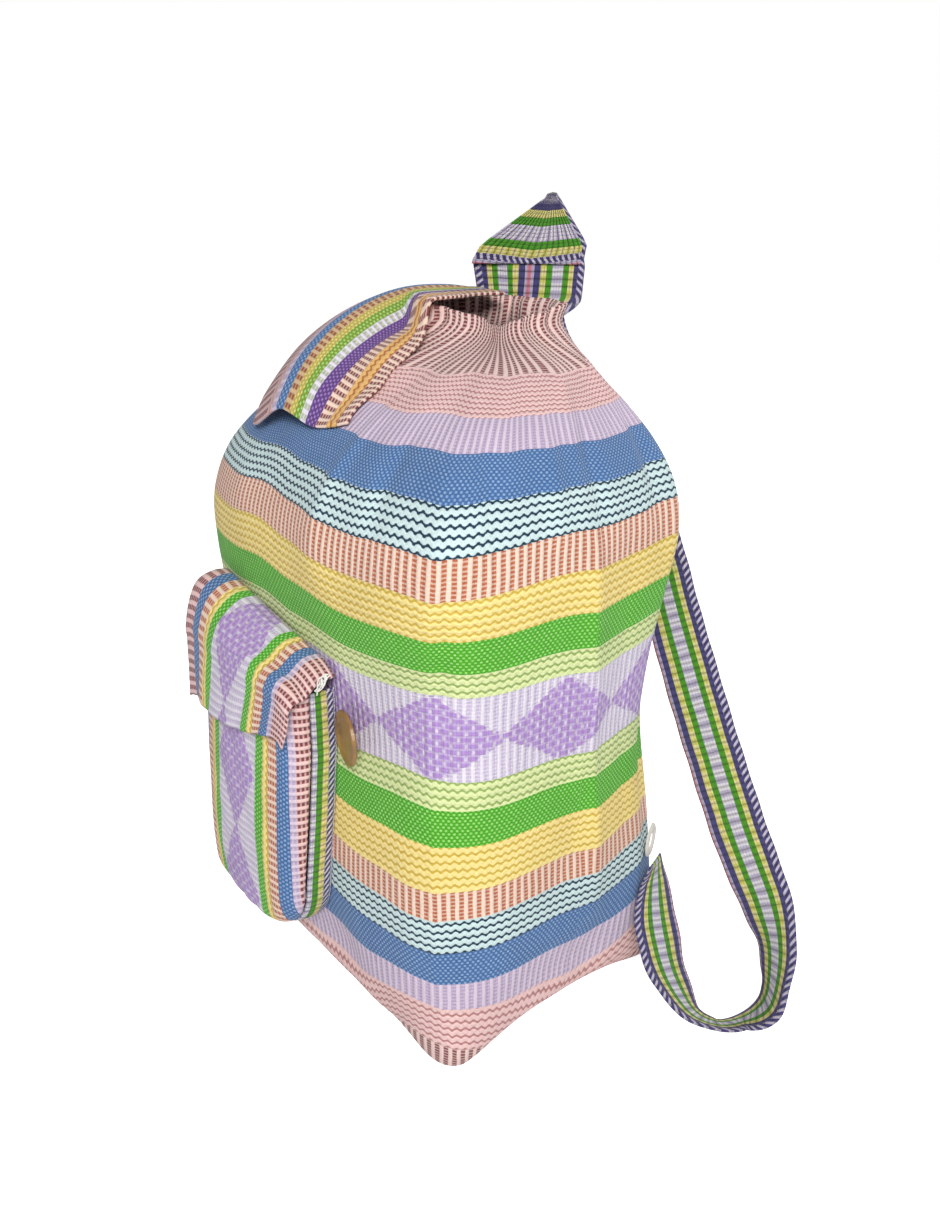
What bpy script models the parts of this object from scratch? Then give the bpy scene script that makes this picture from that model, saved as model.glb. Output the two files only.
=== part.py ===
"""Woven cotton drawstring backpack, stuffed full and standing on its base.

Metres, +Z up. The pocket side faces -Y, the shoulder straps are on +Y.
"""

import math

import bpy
import bmesh
import numpy as np

# Bag body
BODY_HALF_X = 0.154
BODY_HALF_Y = 0.110
BODY_RIM_Z = 0.437
BODY_CLOTH = 0.0024
BODY_AROUND = 72
NECK_SHIFT_Y = 0.050
NECK_SHIFT_X = 0.006
GATHERS = 12
BACK_DENT = 0.12

# Clearance between pieces that touch
TOUCH = 0.0003

# Webbing
WEB_WIDTH = 0.038
WEB_THICK = 0.0022

# Front pocket
POCKET_X = -0.017
POCKET_WIDTH = 0.128
POCKET_BOTTOM_Z = 0.056
POCKET_TOP_Z = 0.232
POCKET_CORNER = 0.034
POCKET_CORNER_LEFT = 0.016
POCKET_GUSSET = 0.021
POCKET_EDGE = 0.010
POCKET_TILT = 0.013
POCKET_TAPER = 0.14
POCKET_CLOTH = 0.0020
POCKET_BULGE = 0.006
POCKET_FLAP_DROP = 0.042
POCKET_FLAP_SIDE = 0.004

# Top flap
FLAP_WIDTH = 0.092
FLAP_CLOTH = 0.0026

# Hang loop
LOOP_WIDTH = 0.078
LOOP_TOP_Z = 0.501
LOOP_THICK = 0.0030
LOOP_TURN = 42.0
LOOP_X = -0.018

# Button and eyelets
BUTTON_RADIUS = 0.017
BUTTON_THICK = 0.0030
BUTTON_TILT = 0.28
EYELET_OUTER = 0.0115
EYELET_HOLE = 0.0062
EYELET_THICK = 0.0016
EYELET_Z = 0.1030

# Stations of the body: height, half x, half y, shift towards the neck, squareness, pinch, gather
STATIONS = [
    (0.0000, 0.150, 0.106, 0.00, 5.2, 0.235, 0.000),
    (0.0030, 0.152, 0.108, 0.00, 5.2, 0.175, 0.000),
    (0.0100, 0.1535, 0.1095, 0.00, 5.0, 0.105, 0.000),
    (0.0250, 0.1545, 0.1105, 0.00, 4.6, 0.050, 0.000),
    (0.0500, 0.154, 0.110, 0.00, 4.2, 0.010, 0.000),
    (0.0900, 0.153, 0.109, 0.00, 4.0, 0.000, 0.000),
    (0.1400, 0.150, 0.105, 0.00, 4.0, 0.000, 0.000),
    (0.1900, 0.148, 0.102, 0.00, 4.0, 0.000, 0.000),
    (0.2400, 0.149, 0.103, 0.00, 4.0, 0.000, 0.000),
    (0.2800, 0.151, 0.107, 0.01, 4.0, 0.000, 0.000),
    (0.3150, 0.152, 0.109, 0.03, 3.9, 0.000, 0.000),
    (0.3450, 0.147, 0.104, 0.09, 3.6, 0.000, 0.002),
    (0.3680, 0.133, 0.093, 0.22, 3.2, 0.000, 0.008),
    (0.3860, 0.112, 0.078, 0.42, 2.8, 0.000, 0.018),
    (0.3980, 0.091, 0.064, 0.63, 2.5, 0.000, 0.032),
    (0.4080, 0.074, 0.053, 0.81, 2.3, 0.000, 0.044),
    (0.4170, 0.062, 0.045, 0.93, 2.1, 0.000, 0.052),
    (0.4270, 0.055, 0.039, 1.00, 2.0, 0.000, 0.055),
    (0.4370, 0.058, 0.042, 1.02, 2.0, 0.000, 0.050),
]

SCALE_X = BODY_HALF_X / 0.154
SCALE_Y = BODY_HALF_Y / 0.110
SCALE_Z = BODY_RIM_Z / 0.437


def station(z):
    """Values of the body at one height."""
    heights = [row[0] * SCALE_Z for row in STATIONS]
    out = []
    for column in range(1, 7):
        out.append(float(np.interp(z, heights, [row[column] for row in STATIONS])))
    half_x, half_y, shift, square, pinch, gather = out
    return half_x * SCALE_X, half_y * SCALE_Y, shift, square, pinch, gather


def body_angles():
    """Polar angles that are evenly spread along the middle section."""
    phi = np.linspace(0.0, 2.0 * math.pi, 2881)
    radius = (np.abs(np.cos(phi) / BODY_HALF_X) ** 4 + np.abs(np.sin(phi) / BODY_HALF_Y) ** 4) ** -0.25
    x = radius * np.cos(phi)
    y = radius * np.sin(phi)
    arc = np.concatenate([[0.0], np.cumsum(np.hypot(np.diff(x), np.diff(y)))])
    even = np.linspace(0.0, arc[-1], BODY_AROUND + 1)[:-1]
    return np.interp(even, arc, phi)


def body_point(phi, z, turn):
    """Outer cloth at one polar angle and height; turn runs from 0 to 1 around."""
    half_x, half_y, shift, square, pinch, gather = station(z)
    c = math.cos(phi)
    s = math.sin(phi)
    radius = (abs(c / half_x) ** square + abs(s / half_y) ** square) ** (-1.0 / square)
    corner = math.atan2(half_y, half_x)
    folded = math.atan2(abs(s), abs(c))
    away = 1.0 - math.exp(-(((folded - corner) / 0.24) ** 2))
    radius *= 1.0 - pinch * away
    radius *= 1.0 + gather * math.cos(2.0 * math.pi * GATHERS * turn + 0.6)
    x = NECK_SHIFT_X * shift + radius * c
    y = radius * s
    if y > 0.0:
        y *= 1.0 - BACK_DENT * math.exp(-(((z - 0.190 * SCALE_Z) / (0.062 * SCALE_Z)) ** 2))
    return (x, y + NECK_SHIFT_Y * shift, z)


def body_front(x, z):
    """Y of the front cloth at x and z, on the smooth body without gathers."""
    half_x, half_y, shift, square, pinch, gather = station(z)
    across = min(abs((x - NECK_SHIFT_X * shift) / half_x), 0.985)
    return NECK_SHIFT_Y * shift - half_y * (1.0 - across ** square) ** (1.0 / square)


def body_back(x, z):
    """Y of the back cloth at x and z, on the smooth body."""
    half_x, half_y, shift, square, pinch, gather = station(z)
    across = min(abs((x - NECK_SHIFT_X * shift) / half_x), 0.985)
    return NECK_SHIFT_Y * shift + half_y * (1.0 - across ** square) ** (1.0 / square)


def behind_body(x, z):
    """Least Y at which a strap clears the back cloth, gathers included."""
    if z > BODY_RIM_Z + 0.002:
        z = BODY_RIM_Z
    half_x, half_y, shift, square, pinch, gather = station(z)
    across = abs((x - NECK_SHIFT_X * shift) / (half_x * (1.0 + gather) + 0.001))
    if across >= 1.0:
        return -1.0
    depth = (half_y * (1.0 + gather) + 0.0010) * (1.0 - across ** square) ** (1.0 / square)
    return NECK_SHIFT_Y * shift + depth


def grid_normals(points, around):
    """Unit normals of a grid of points, rows first; around closes the columns."""
    if around:
        du = np.roll(points, -1, axis=1) - np.roll(points, 1, axis=1)
    else:
        du = np.gradient(points, axis=1)
    dv = np.gradient(points, axis=0)
    normal = np.cross(du, dv)
    length = np.linalg.norm(normal, axis=2, keepdims=True)
    return normal / np.maximum(length, 1e-12)


def material(name, colour, roughness, metallic):
    mat = bpy.data.materials.new(name)
    mat.use_nodes = True
    shader = mat.node_tree.nodes["Principled BSDF"]
    shader.inputs["Base Color"].default_value = (colour[0], colour[1], colour[2], 1.0)
    shader.inputs["Roughness"].default_value = roughness
    shader.inputs["Metallic"].default_value = metallic
    mat.diffuse_color = (colour[0], colour[1], colour[2], 1.0)
    return mat


def solid(name, vertices, faces, mat):
    """One closed body with its faces turned outwards."""
    mesh = bpy.data.meshes.new(name)
    mesh.from_pydata([tuple(v) for v in vertices], [], faces)
    mesh.update()
    bm = bmesh.new()
    bm.from_mesh(mesh)
    bmesh.ops.triangulate(bm, faces=bm.faces[:])
    bmesh.ops.recalc_face_normals(bm, faces=bm.faces[:])
    if bm.calc_volume(signed=True) < 0.0:
        bmesh.ops.reverse_faces(bm, faces=bm.faces[:])
    bm.to_mesh(mesh)
    bm.free()
    obj = bpy.data.objects.new(name, mesh)
    bpy.context.scene.collection.objects.link(obj)
    mesh.materials.append(mat)
    return obj


def sheet(name, points, thickness, mat, normals=None):
    """Thin closed slab between a grid of points and the same grid moved by thickness."""
    points = np.asarray(points, float)
    rows, columns = points.shape[:2]
    if normals is None:
        normals = grid_normals(points, False)
    other = points + normals * thickness
    vertices = np.concatenate([points.reshape(-1, 3), other.reshape(-1, 3)])
    half = rows * columns
    faces = []
    for r in range(rows - 1):
        for c in range(columns - 1):
            a = r * columns + c
            faces.append((a, a + 1, a + columns + 1, a + columns))
            faces.append((half + a, half + a + columns, half + a + columns + 1, half + a + 1))
    for r in range(rows - 1):
        a = r * columns
        faces.append((a, a + columns, half + a + columns, half + a))
        b = a + columns - 1
        faces.append((b, half + b, half + b + columns, b + columns))
    for c in range(columns - 1):
        faces.append((c, half + c, half + c + 1, c + 1))
        b = (rows - 1) * columns + c
        faces.append((b, b + 1, half + b + 1, half + b))
    return solid(name, vertices, faces, mat)


def smooth_path(points, count):
    """Catmull-Rom path through points, evenly spread, with any columns carried along."""
    points = np.asarray(points, float)
    padded = np.vstack([2 * points[0] - points[1], points, 2 * points[-1] - points[-2]])
    fine = []
    for i in range(1, len(padded) - 2):
        p0, p1, p2, p3 = padded[i - 1:i + 3]
        for t in np.linspace(0.0, 1.0, 40, endpoint=False):
            fine.append(0.5 * (2 * p1 + (p2 - p0) * t + (2 * p0 - 5 * p1 + 4 * p2 - p3) * t * t
                               + (3 * p1 - p0 - 3 * p2 + p3) * t ** 3))
    fine.append(padded[-2])
    fine = np.array(fine)
    arc = np.concatenate([[0.0], np.cumsum(np.linalg.norm(np.diff(fine[:, :3], axis=0), axis=1))])
    even = np.linspace(0.0, arc[-1], count)
    return np.stack([np.interp(even, arc, fine[:, k]) for k in range(fine.shape[1])], axis=1)


def make_body(mat):
    phis = body_angles()
    heights = [row[0] * SCALE_Z for row in STATIONS]
    levels = []
    for low, high in zip(heights[:-1], heights[1:]):
        levels.append(low)
        if high - low > 0.030 * SCALE_Z:
            levels.append((low + high) / 2.0)
    levels.append(heights[-1])
    outer = np.array([[body_point(phi, z, k / BODY_AROUND) for k, phi in enumerate(phis)] for z in levels])
    normals = grid_normals(outer, True)
    inner = outer - normals * BODY_CLOTH
    inner[0, :, 2] = BODY_CLOTH
    inner[1, :, 2] = np.maximum(inner[1, :, 2], BODY_CLOTH + 0.0008)
    inner[2, :, 2] = np.maximum(inner[2, :, 2], BODY_CLOTH + 0.0040)
    inner[-1, :, 2] = outer[-1, :, 2]
    rows, columns = outer.shape[:2]
    half = rows * columns
    vertices = list(map(tuple, outer.reshape(-1, 3))) + list(map(tuple, inner.reshape(-1, 3)))
    vertices.append((0.0, 0.0, 0.0))
    vertices.append((0.0, 0.0, BODY_CLOTH))
    faces = []
    for r in range(rows - 1):
        for c in range(columns):
            d = (c + 1) % columns
            faces.append((r * columns + c, r * columns + d, (r + 1) * columns + d, (r + 1) * columns + c))
            faces.append((half + r * columns + c, half + (r + 1) * columns + c,
                          half + (r + 1) * columns + d, half + r * columns + d))
    top = (rows - 1) * columns
    for c in range(columns):
        d = (c + 1) % columns
        faces.append((top + c, top + d, half + top + d, half + top + c))
        faces.append((2 * half, d, c))
        faces.append((2 * half + 1, half + c, half + d))
    return solid("bag_body", vertices, faces, mat)


def pocket_half(z):
    """Half width of the pocket at one height."""
    v = min(1.0, max(0.0, (z - POCKET_BOTTOM_Z) / (POCKET_TOP_Z - POCKET_BOTTOM_Z)))
    return POCKET_WIDTH / 2.0 * (1.0 - POCKET_TAPER * (1.0 - v))


def pocket_outline(count):
    """Points down the left side, round the bottom and up the right side, as x and z."""
    half = POCKET_WIDTH / 2.0
    r = POCKET_CORNER_LEFT
    pts = [(-half, POCKET_TOP_Z)]
    for angle in np.linspace(180.0, 270.0, 9):
        a = math.radians(angle)
        pts.append((-half + r + r * math.cos(a), POCKET_BOTTOM_Z + r + r * math.sin(a)))
    r = POCKET_CORNER
    for angle in np.linspace(270.0, 360.0, 9):
        a = math.radians(angle)
        pts.append((half - r + r * math.cos(a), POCKET_BOTTOM_Z + r + r * math.sin(a)))
    pts.append((half, POCKET_TOP_Z))
    pts = np.array([(x * pocket_half(z) / half, z) for x, z in pts])
    arc = np.concatenate([[0.0], np.cumsum(np.hypot(*np.diff(pts, axis=0).T))])
    even = np.linspace(0.0, arc[-1], count)
    return np.stack([np.interp(even, arc, pts[:, 0]) + POCKET_X, np.interp(even, arc, pts[:, 1])], axis=1)


def pocket_reach(z, corner, inset):
    """Distance from the pocket's middle to the rounded side of its cloth at one height."""
    half = pocket_half(z) - inset
    r = corner - inset
    drop = POCKET_BOTTOM_Z + inset + r - z
    if drop > 0.0:
        half -= r - math.sqrt(max(r * r - drop * drop, 0.0))
    return half


def pocket_inside(x, z):
    """Distance from the rounded outline of the pocket, positive inside."""
    half = pocket_half(z)
    side = half - abs(x - POCKET_X)
    low = z - POCKET_BOTTOM_Z
    r = POCKET_CORNER if x > POCKET_X else POCKET_CORNER_LEFT
    if side < r and low < r:
        return r - math.hypot(r - side, r - low)
    return min(side, low)


def pocket_back_y(x, z):
    """Y of the back of the pocket's front cloth, with its edges turned towards the body."""
    base = body_front(POCKET_X, max(z, 0.070)) - POCKET_GUSSET - POCKET_EDGE
    u = (x - POCKET_X) / (POCKET_WIDTH / 2.0)
    v = (z - POCKET_BOTTOM_Z) / (POCKET_TOP_Z - POCKET_BOTTOM_Z)
    bulge = POCKET_BULGE * max(0.0, 1.0 - u * u) * max(0.0, 1.0 - (2.0 * v - 1.0) ** 2)
    depth = min(1.0, max(0.0, 1.0 - (pocket_inside(x, z) - 0.002) / POCKET_EDGE))
    turned = POCKET_EDGE * (1.0 - math.sqrt(max(0.0, 1.0 - depth * depth)))
    return base - bulge + turned + 0.004 * u * u


def make_pocket(cloth, web, lining):
    outline = pocket_outline(61)
    # Webbing gusset from the body out to the turned edge of the front cloth
    rows = []
    inward = []
    centre = np.array([POCKET_X, (POCKET_BOTTOM_Z + POCKET_TOP_Z) / 2.0])
    step = np.gradient(outline, axis=0)
    for (x, z), (dx, dz) in zip(outline, step):
        normal = np.array([-dz, 0.0, dx])
        normal /= np.linalg.norm(normal)
        if normal[0] * (centre[0] - x) + normal[2] * (centre[1] - z) < 0.0:
            normal = -normal
        x2 = x + normal[0] * WEB_THICK
        z2 = z + normal[2] * WEB_THICK
        start = min(body_front(x, z), body_front(x2, z2)) - TOUCH
        end = body_front(POCKET_X, max(z, 0.070)) - POCKET_GUSSET + 0.004 + TOUCH
        rows.append([(x, start + (end - start) * k / 4.0, z) for k in range(5)])
        inward.append([normal] * 5)
    sheet("pocket_gusset", rows, WEB_THICK, web, np.array(inward))
    # Front cloth, its edges turned back to meet the gusset
    inset = POCKET_CLOTH
    across = np.concatenate([[-1.0, -0.985, -0.95, -0.90, -0.82], np.linspace(-0.68, 0.68, 9),
                             [0.82, 0.90, 0.95, 0.985, 1.0]])
    grid = []
    height = POCKET_TOP_Z - POCKET_BOTTOM_Z - inset
    for v in (0.0, 0.006, 0.02, 0.045, 0.08, 0.12, 0.17, 0.24, 0.32, 0.42, 0.54, 0.66, 0.78, 0.89, 1.0):
        z = POCKET_BOTTOM_Z + inset + v * height
        right = pocket_reach(z, POCKET_CORNER, inset)
        left = pocket_reach(z, POCKET_CORNER_LEFT, inset)
        xs = [POCKET_X + (right if u > 0.0 else left) * u for u in across]
        grid.append([(x, pocket_back_y(x, z), z) for x in xs])
    grid = np.array(grid)
    normals = grid_normals(grid, False)
    if normals[8, 9, 1] > 0.0:
        normals = -normals
    sheet("pocket_panel", grid, POCKET_CLOTH, cloth, normals)
    # Flap from the body seam over the top edge and down the front
    half = POCKET_WIDTH / 2.0 + POCKET_FLAP_SIDE
    rows = []
    for u in np.linspace(-1.0, 1.0, 17):
        x = POCKET_X + half * u
        seam_z = POCKET_TOP_Z + 0.026 - POCKET_TILT * u
        back = body_front(x, seam_z) - TOUCH
        near = POCKET_X + min(abs(half * u), POCKET_WIDTH / 2.0 - POCKET_EDGE) * (1.0 if u > 0 else -1.0)
        front = pocket_back_y(near, POCKET_TOP_Z) - POCKET_CLOTH - 0.0012
        drop = POCKET_FLAP_DROP * (1.0 - 0.30 * u - 0.10 * u ** 4)
        top = POCKET_TOP_Z + 0.0050 + 0.5 * POCKET_TILT * max(0.0, -u)
        round_z = top + 0.012 - 0.9 * POCKET_TILT * u
        path = [(back, seam_z), (back * 0.65 + front * 0.35, seam_z * 0.75 + round_z * 0.25 + 0.002),
                (back * 0.3 + front * 0.7, round_z + 0.001), (front + 0.0025, (round_z + top) / 2.0 + 0.001),
                (front - 0.0014, top - 0.003)]
        for k in range(1, 8):
            z = top - 0.003 - (drop - 0.003) * k / 7.0
            face = pocket_back_y(near, z)
            path.append((face - POCKET_CLOTH - 0.0020 - 0.004 * k / 7.0, z))
        side = [1.0 - 0.05 * max(0.0, (k - 4) / 7.0) ** 1.5 for k in range(len(path))]
        rows.append([(POCKET_X + half * u * side[k], p[0], p[1]) for k, p in enumerate(path)])
    rows = np.array(rows)
    normals = grid_normals(rows, False)
    if normals[8, 9, 1] > 0.0:
        normals = -normals
    normals[:, 0] = (0.0, 0.0, 1.0)
    sheet("pocket_flap", rows, POCKET_CLOTH, lining, normals)


def make_button(mat):
    """Dished round button on the front cloth beside the pocket."""
    x = POCKET_X + POCKET_WIDTH / 2.0 + 0.0185
    z = 0.207
    y = body_front(x, z)
    slope = (body_front(x + 0.004, z) - body_front(x - 0.004, z)) / 0.008
    normal = np.array([slope - BUTTON_TILT, -1.0, 0.0])
    normal /= np.linalg.norm(normal)
    side = np.array([-normal[1], normal[0], 0.0])
    up = np.array([0.0, 0.0, 1.0])
    lift = 0.0
    for angle in np.linspace(0.0, 2.0 * math.pi, 33):
        rim = np.array([x, y, z]) + BUTTON_RADIUS * (math.cos(angle) * side + math.sin(angle) * up)
        for reach in (0.5, 1.0):
            spot = np.array([x, y, z]) + reach * (rim - np.array([x, y, z]))
            lift = max(lift, (spot[1] - body_front(spot[0], spot[2])) / abs(normal[1]))
    base = np.array([x, y, z]) + normal * (lift + TOUCH)
    profile = [(0.0, 0.0), (0.55, 0.0), (0.93, 0.0), (1.0, 0.35), (0.97, 0.85), (0.86, 1.0), (0.62, 0.72), (0.0, 0.62)]
    count = 32
    vertices = []
    faces = []
    for r, h in profile[1:-1]:
        for k in range(count):
            a = 2.0 * math.pi * k / count
            vertices.append(base + r * BUTTON_RADIUS * (math.cos(a) * side + math.sin(a) * up)
                            + normal * h * BUTTON_THICK)
    rings = len(profile) - 2
    for r in range(rings - 1):
        for k in range(count):
            d = (k + 1) % count
            faces.append((r * count + k, r * count + d, (r + 1) * count + d, (r + 1) * count + k))
    vertices.append(base)
    vertices.append(base + normal * profile[-1][1] * BUTTON_THICK)
    for k in range(count):
        d = (k + 1) % count
        faces.append((rings * count, d, k))
        faces.append((rings * count + 1, (rings - 1) * count + k, (rings - 1) * count + d))
    solid("pocket_button", vertices, faces, mat)


def strap_rest_y(x, z):
    """Y of a strap's inner face where it lies on the back of the neck."""
    across, depth, shift, square, pinch, gather = station(z)
    return body_back(x, z) + depth * gather * 1.05 + 0.0022


def strap_path(side):
    """Centre line and width direction of one shoulder strap; side is 1 or -1."""
    back = []
    for x, z in ((0.0195, 0.430), (0.022, 0.421), (0.030, 0.402), (0.044, 0.372)):
        back.append((x, strap_rest_y(x, z), z, 1.0, 0.0, 0.0))
    loop = [
        (0.064, body_back(0.064, 0.335) + 0.004, 0.335, 0.97, 0.24, 0.0),
        (0.090, 0.1160, 0.2920, 0.96, 0.28, 0.0),
        (0.117, 0.1145, 0.2390, 0.96, 0.29, 0.0),
        (0.154, 0.1080, 0.1800, 0.95, 0.30, 0.0),
        (0.190, 0.1040, 0.1230, 0.95, 0.30, 0.0),
        (0.218, 0.1005, 0.0860, 0.92, 0.10, 0.0),
        (0.232, 0.0960, 0.0640, 0.90, -0.25, 0.0),
        (0.239, 0.0895, 0.0420, 0.85, -0.50, 0.15),
        (0.2395, 0.0835, 0.0240, 0.80, -0.60, 0.40),
        (0.2314, 0.0737, 0.0125, 0.74, -0.62, 0.62),
        (0.2224, 0.0593, 0.0112, 0.70, -0.68, 0.62),
        (0.2070, 0.0525, 0.0140, 0.50, -0.86, 0.48),
        (0.1860, 0.0560, 0.0240, 0.22, -0.97, 0.20),
        (0.1700, 0.0620, 0.0405, 0.05, -1.00, 0.05),
        (0.1590, 0.0680, 0.0570, 0.05, -1.00, 0.0),
        (0.1520, 0.0735, 0.0740, 0.22, -0.97, 0.0),
        (0.1500, 0.0762, 0.0885, 0.45, -0.89, 0.0),
    ]
    rows = back + [(x * SCALE_X, y * SCALE_Y, z * SCALE_Z, wx, wy, wz) for x, y, z, wx, wy, wz in loop]
    rows = smooth_path(rows, 71)
    rows[:, 0] *= side
    rows[:, 3] *= side
    high = np.clip((rows[:, 2] / SCALE_Z - 0.300) / 0.120, 0.0, 1.0)
    rows[:, 0] += LOOP_X * high * high * (3.0 - 2.0 * high)
    return rows


def make_strap(name, side, mat):
    rows = strap_path(side)
    centre = rows[:, :3]
    tangent = np.gradient(centre, axis=0)
    tangent /= np.linalg.norm(tangent, axis=1, keepdims=True)
    width = rows[:, 3:6]
    width = width - tangent * np.sum(width * tangent, axis=1, keepdims=True)
    width /= np.linalg.norm(width, axis=1, keepdims=True)
    along = np.linspace(0.0, 1.0, len(centre))
    taper = np.interp(along, [0.0, 0.95, 0.985, 1.0], [1.0, 1.0, 0.80, 0.56])[:, None]
    grid = np.stack([centre + width * taper * WEB_WIDTH * k for k in (-0.5, -0.25, 0.0, 0.25, 0.5)], axis=1)
    for r in range(grid.shape[0]):
        for c in range(grid.shape[1]):
            grid[r, c, 1] = max(grid[r, c, 1], behind_body(grid[r, c, 0], grid[r, c, 2]))
    normal = -np.cross(tangent, width) * side
    normals = np.repeat(normal[:, None, :], 5, axis=1)
    low = np.min(grid[:, :, 2] + np.minimum(normals[:, :, 2], 0.0) * WEB_THICK)
    lift = np.maximum(0.0, 0.0006 - low) * np.exp(-((centre[:, 2] - 0.0) / 0.05) ** 2)
    grid[:, :, 2] += lift[:, None]
    sheet(name, grid, WEB_THICK, mat, normals)


def make_eyelet(name, side, mat):
    """Flat ring on the rear corner, where the lower end of a strap is fixed."""
    normal = np.array([0.88 * side, 0.47, 0.0])
    normal /= np.linalg.norm(normal)
    tangent = np.array([-normal[1], normal[0], 0.0])
    up = np.array([0.0, 0.0, 1.0])
    z = EYELET_Z
    half_x, half_y, shift, square, pinch, gather = station(z)
    phi = np.linspace(0.0, math.pi / 2.0, 400)
    radius = ((np.cos(phi) / half_x) ** square + (np.sin(phi) / half_y) ** square) ** (-1.0 / square)
    x = radius * np.cos(phi)
    y = radius * np.sin(phi)
    best = int(np.argmax(x * abs(normal[0]) + y * normal[1]))
    base = np.array([x[best] * side, y[best], z]) + normal * (TOUCH + 0.0006)
    count = 28
    profile = [(EYELET_OUTER, 0.0), (EYELET_OUTER, 0.45), (EYELET_OUTER * 0.90, 1.0),
               (EYELET_HOLE * 1.18, 1.0), (EYELET_HOLE, 0.5), (EYELET_HOLE, 0.0)]
    vertices = []
    faces = []
    for r, h in profile:
        for k in range(count):
            a = 2.0 * math.pi * k / count
            vertices.append(base + r * (math.cos(a) * tangent + math.sin(a) * up) + normal * h * EYELET_THICK)
    rings = len(profile)
    for r in range(rings):
        e = (r + 1) % rings
        for k in range(count):
            d = (k + 1) % count
            faces.append((r * count + k, r * count + d, e * count + d, e * count + k))
    solid(name, vertices, faces, mat)


def make_loop(mat):
    """Hang loop: two legs of webbing side by side under a folded pointed top."""
    foot_z = 0.420 * SCALE_Z
    rows = []
    for h in np.linspace(0.0, 1.0, 15):
        z = foot_z + (LOOP_TOP_Z * SCALE_Z - foot_z) * h
        wide = np.interp(h, [0.0, 0.20, 0.45, 0.60, 0.66, 1.0], [0.84, 0.93, 1.0, 1.0, 0.90, 0.05])
        rise = min(1.0, max(0.0, (h - 0.20) / 0.24))
        turn = math.radians(LOOP_TURN) * rise * rise * (3.0 - 2.0 * rise)
        base_y = strap_rest_y(0.0215, min(z, 0.430 * SCALE_Z)) + WEB_THICK + TOUCH + 0.0009
        centre_x = LOOP_X + float(np.interp(h, [0.0, 0.5, 1.0], [0.0, -0.002, 0.018]))
        lean = 0.006 * h * h
        bow = 0.004 * math.sin(math.pi * h)
        half = LOOP_WIDTH / 2.0 * wide
        rows.append([(centre_x + half * u * math.cos(turn),
                      base_y + lean + half * u * math.sin(turn) + bow * (1.0 - u * u), z)
                     for u in np.linspace(-1.0, 1.0, 9)])
    rows = np.array(rows)
    for r in range(rows.shape[0]):
        for c in range(rows.shape[1]):
            x, y, z = rows[r, c]
            rows[r, c, 1] = max(y, behind_body(x, z) + WEB_THICK + 0.0021)
    normals = grid_normals(rows, False)
    if normals[7, 4, 1] < 0.0:
        normals = -normals
    sheet("hang_loop", rows, LOOP_THICK, mat, normals)


def make_top_flap(mat):
    """Cloth tongue from behind the mouth, lying forward over the front shoulder."""
    path = [
        (-0.036, 0.0740, 0.4395, 0.70),
        (-0.040, 0.0550, 0.4440, 0.76),
        (-0.044, 0.0240, 0.4440, 0.86),
        (-0.042, -0.0080, 0.4370, 0.94),
        (-0.035, -0.0400, 0.4240, 0.98),
        (-0.026, -0.0700, 0.4040, 1.00),
        (-0.018, -0.0930, 0.3800, 1.00),
        (-0.014, -0.1030, 0.3640, 0.97),
    ]
    line = smooth_path([(x, y * SCALE_Y, z * SCALE_Z, w) for x, y, z, w in path], 27)
    tangent = np.gradient(line[:, :3], axis=0)
    tangent /= np.linalg.norm(tangent, axis=1, keepdims=True)
    rows = []
    for k, (p, t) in enumerate(zip(line, tangent)):
        s = k / (len(line) - 1)
        across = np.array([1.0, 0.0, 0.0]) - t * t[0]
        across /= np.linalg.norm(across)
        normal = np.cross(across, t)
        if normal[2] < 0.0:
            normal = -normal
        row = []
        for u in np.linspace(-1.0, 1.0, 13):
            fold = 0.0075 * math.exp(-(((u - 0.86) / 0.22) ** 2)) - 0.0045 * math.exp(-(((u - 0.40) / 0.20) ** 2))
            fold *= math.sin(math.pi * min(1.0, 0.15 + s * 0.95)) ** 0.7 if s < 0.94 else 0.25
            crown = -0.009 * u * u
            q = p[:3] + across * FLAP_WIDTH / 2.0 * p[3] * u + normal * (fold + crown)
            row.append(q)
        rows.append(row)
    rows = np.array(rows)
    normals = grid_normals(rows, False)
    if normals[13, 6, 2] < 0.0:
        normals = -normals
    # Keep the underside clear of the body
    for r in range(rows.shape[0]):
        for c in range(rows.shape[1]):
            x, y, z = rows[r, c]
            rows[r, c] = lift_clear(x, y, z, 0.0010)
    sheet("top_flap", rows, FLAP_CLOTH, mat, normals)


def lift_clear(x, y, z, gap):
    """Moves a point up until it is outside the body by about the gap."""
    for _ in range(200):
        if z >= BODY_RIM_Z + gap:
            break
        half_x, half_y, shift, square, pinch, gather = station(z)
        half_x = half_x * (1.0 + gather) + gap
        half_y = half_y * (1.0 + gather) + gap
        cx = NECK_SHIFT_X * shift
        cy = NECK_SHIFT_Y * shift
        inside = (abs((x - cx) / half_x) ** square + abs((y - cy) / half_y) ** square)
        if inside >= 1.0:
            break
        z += 0.0005
    return np.array([x, y, z])


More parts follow.
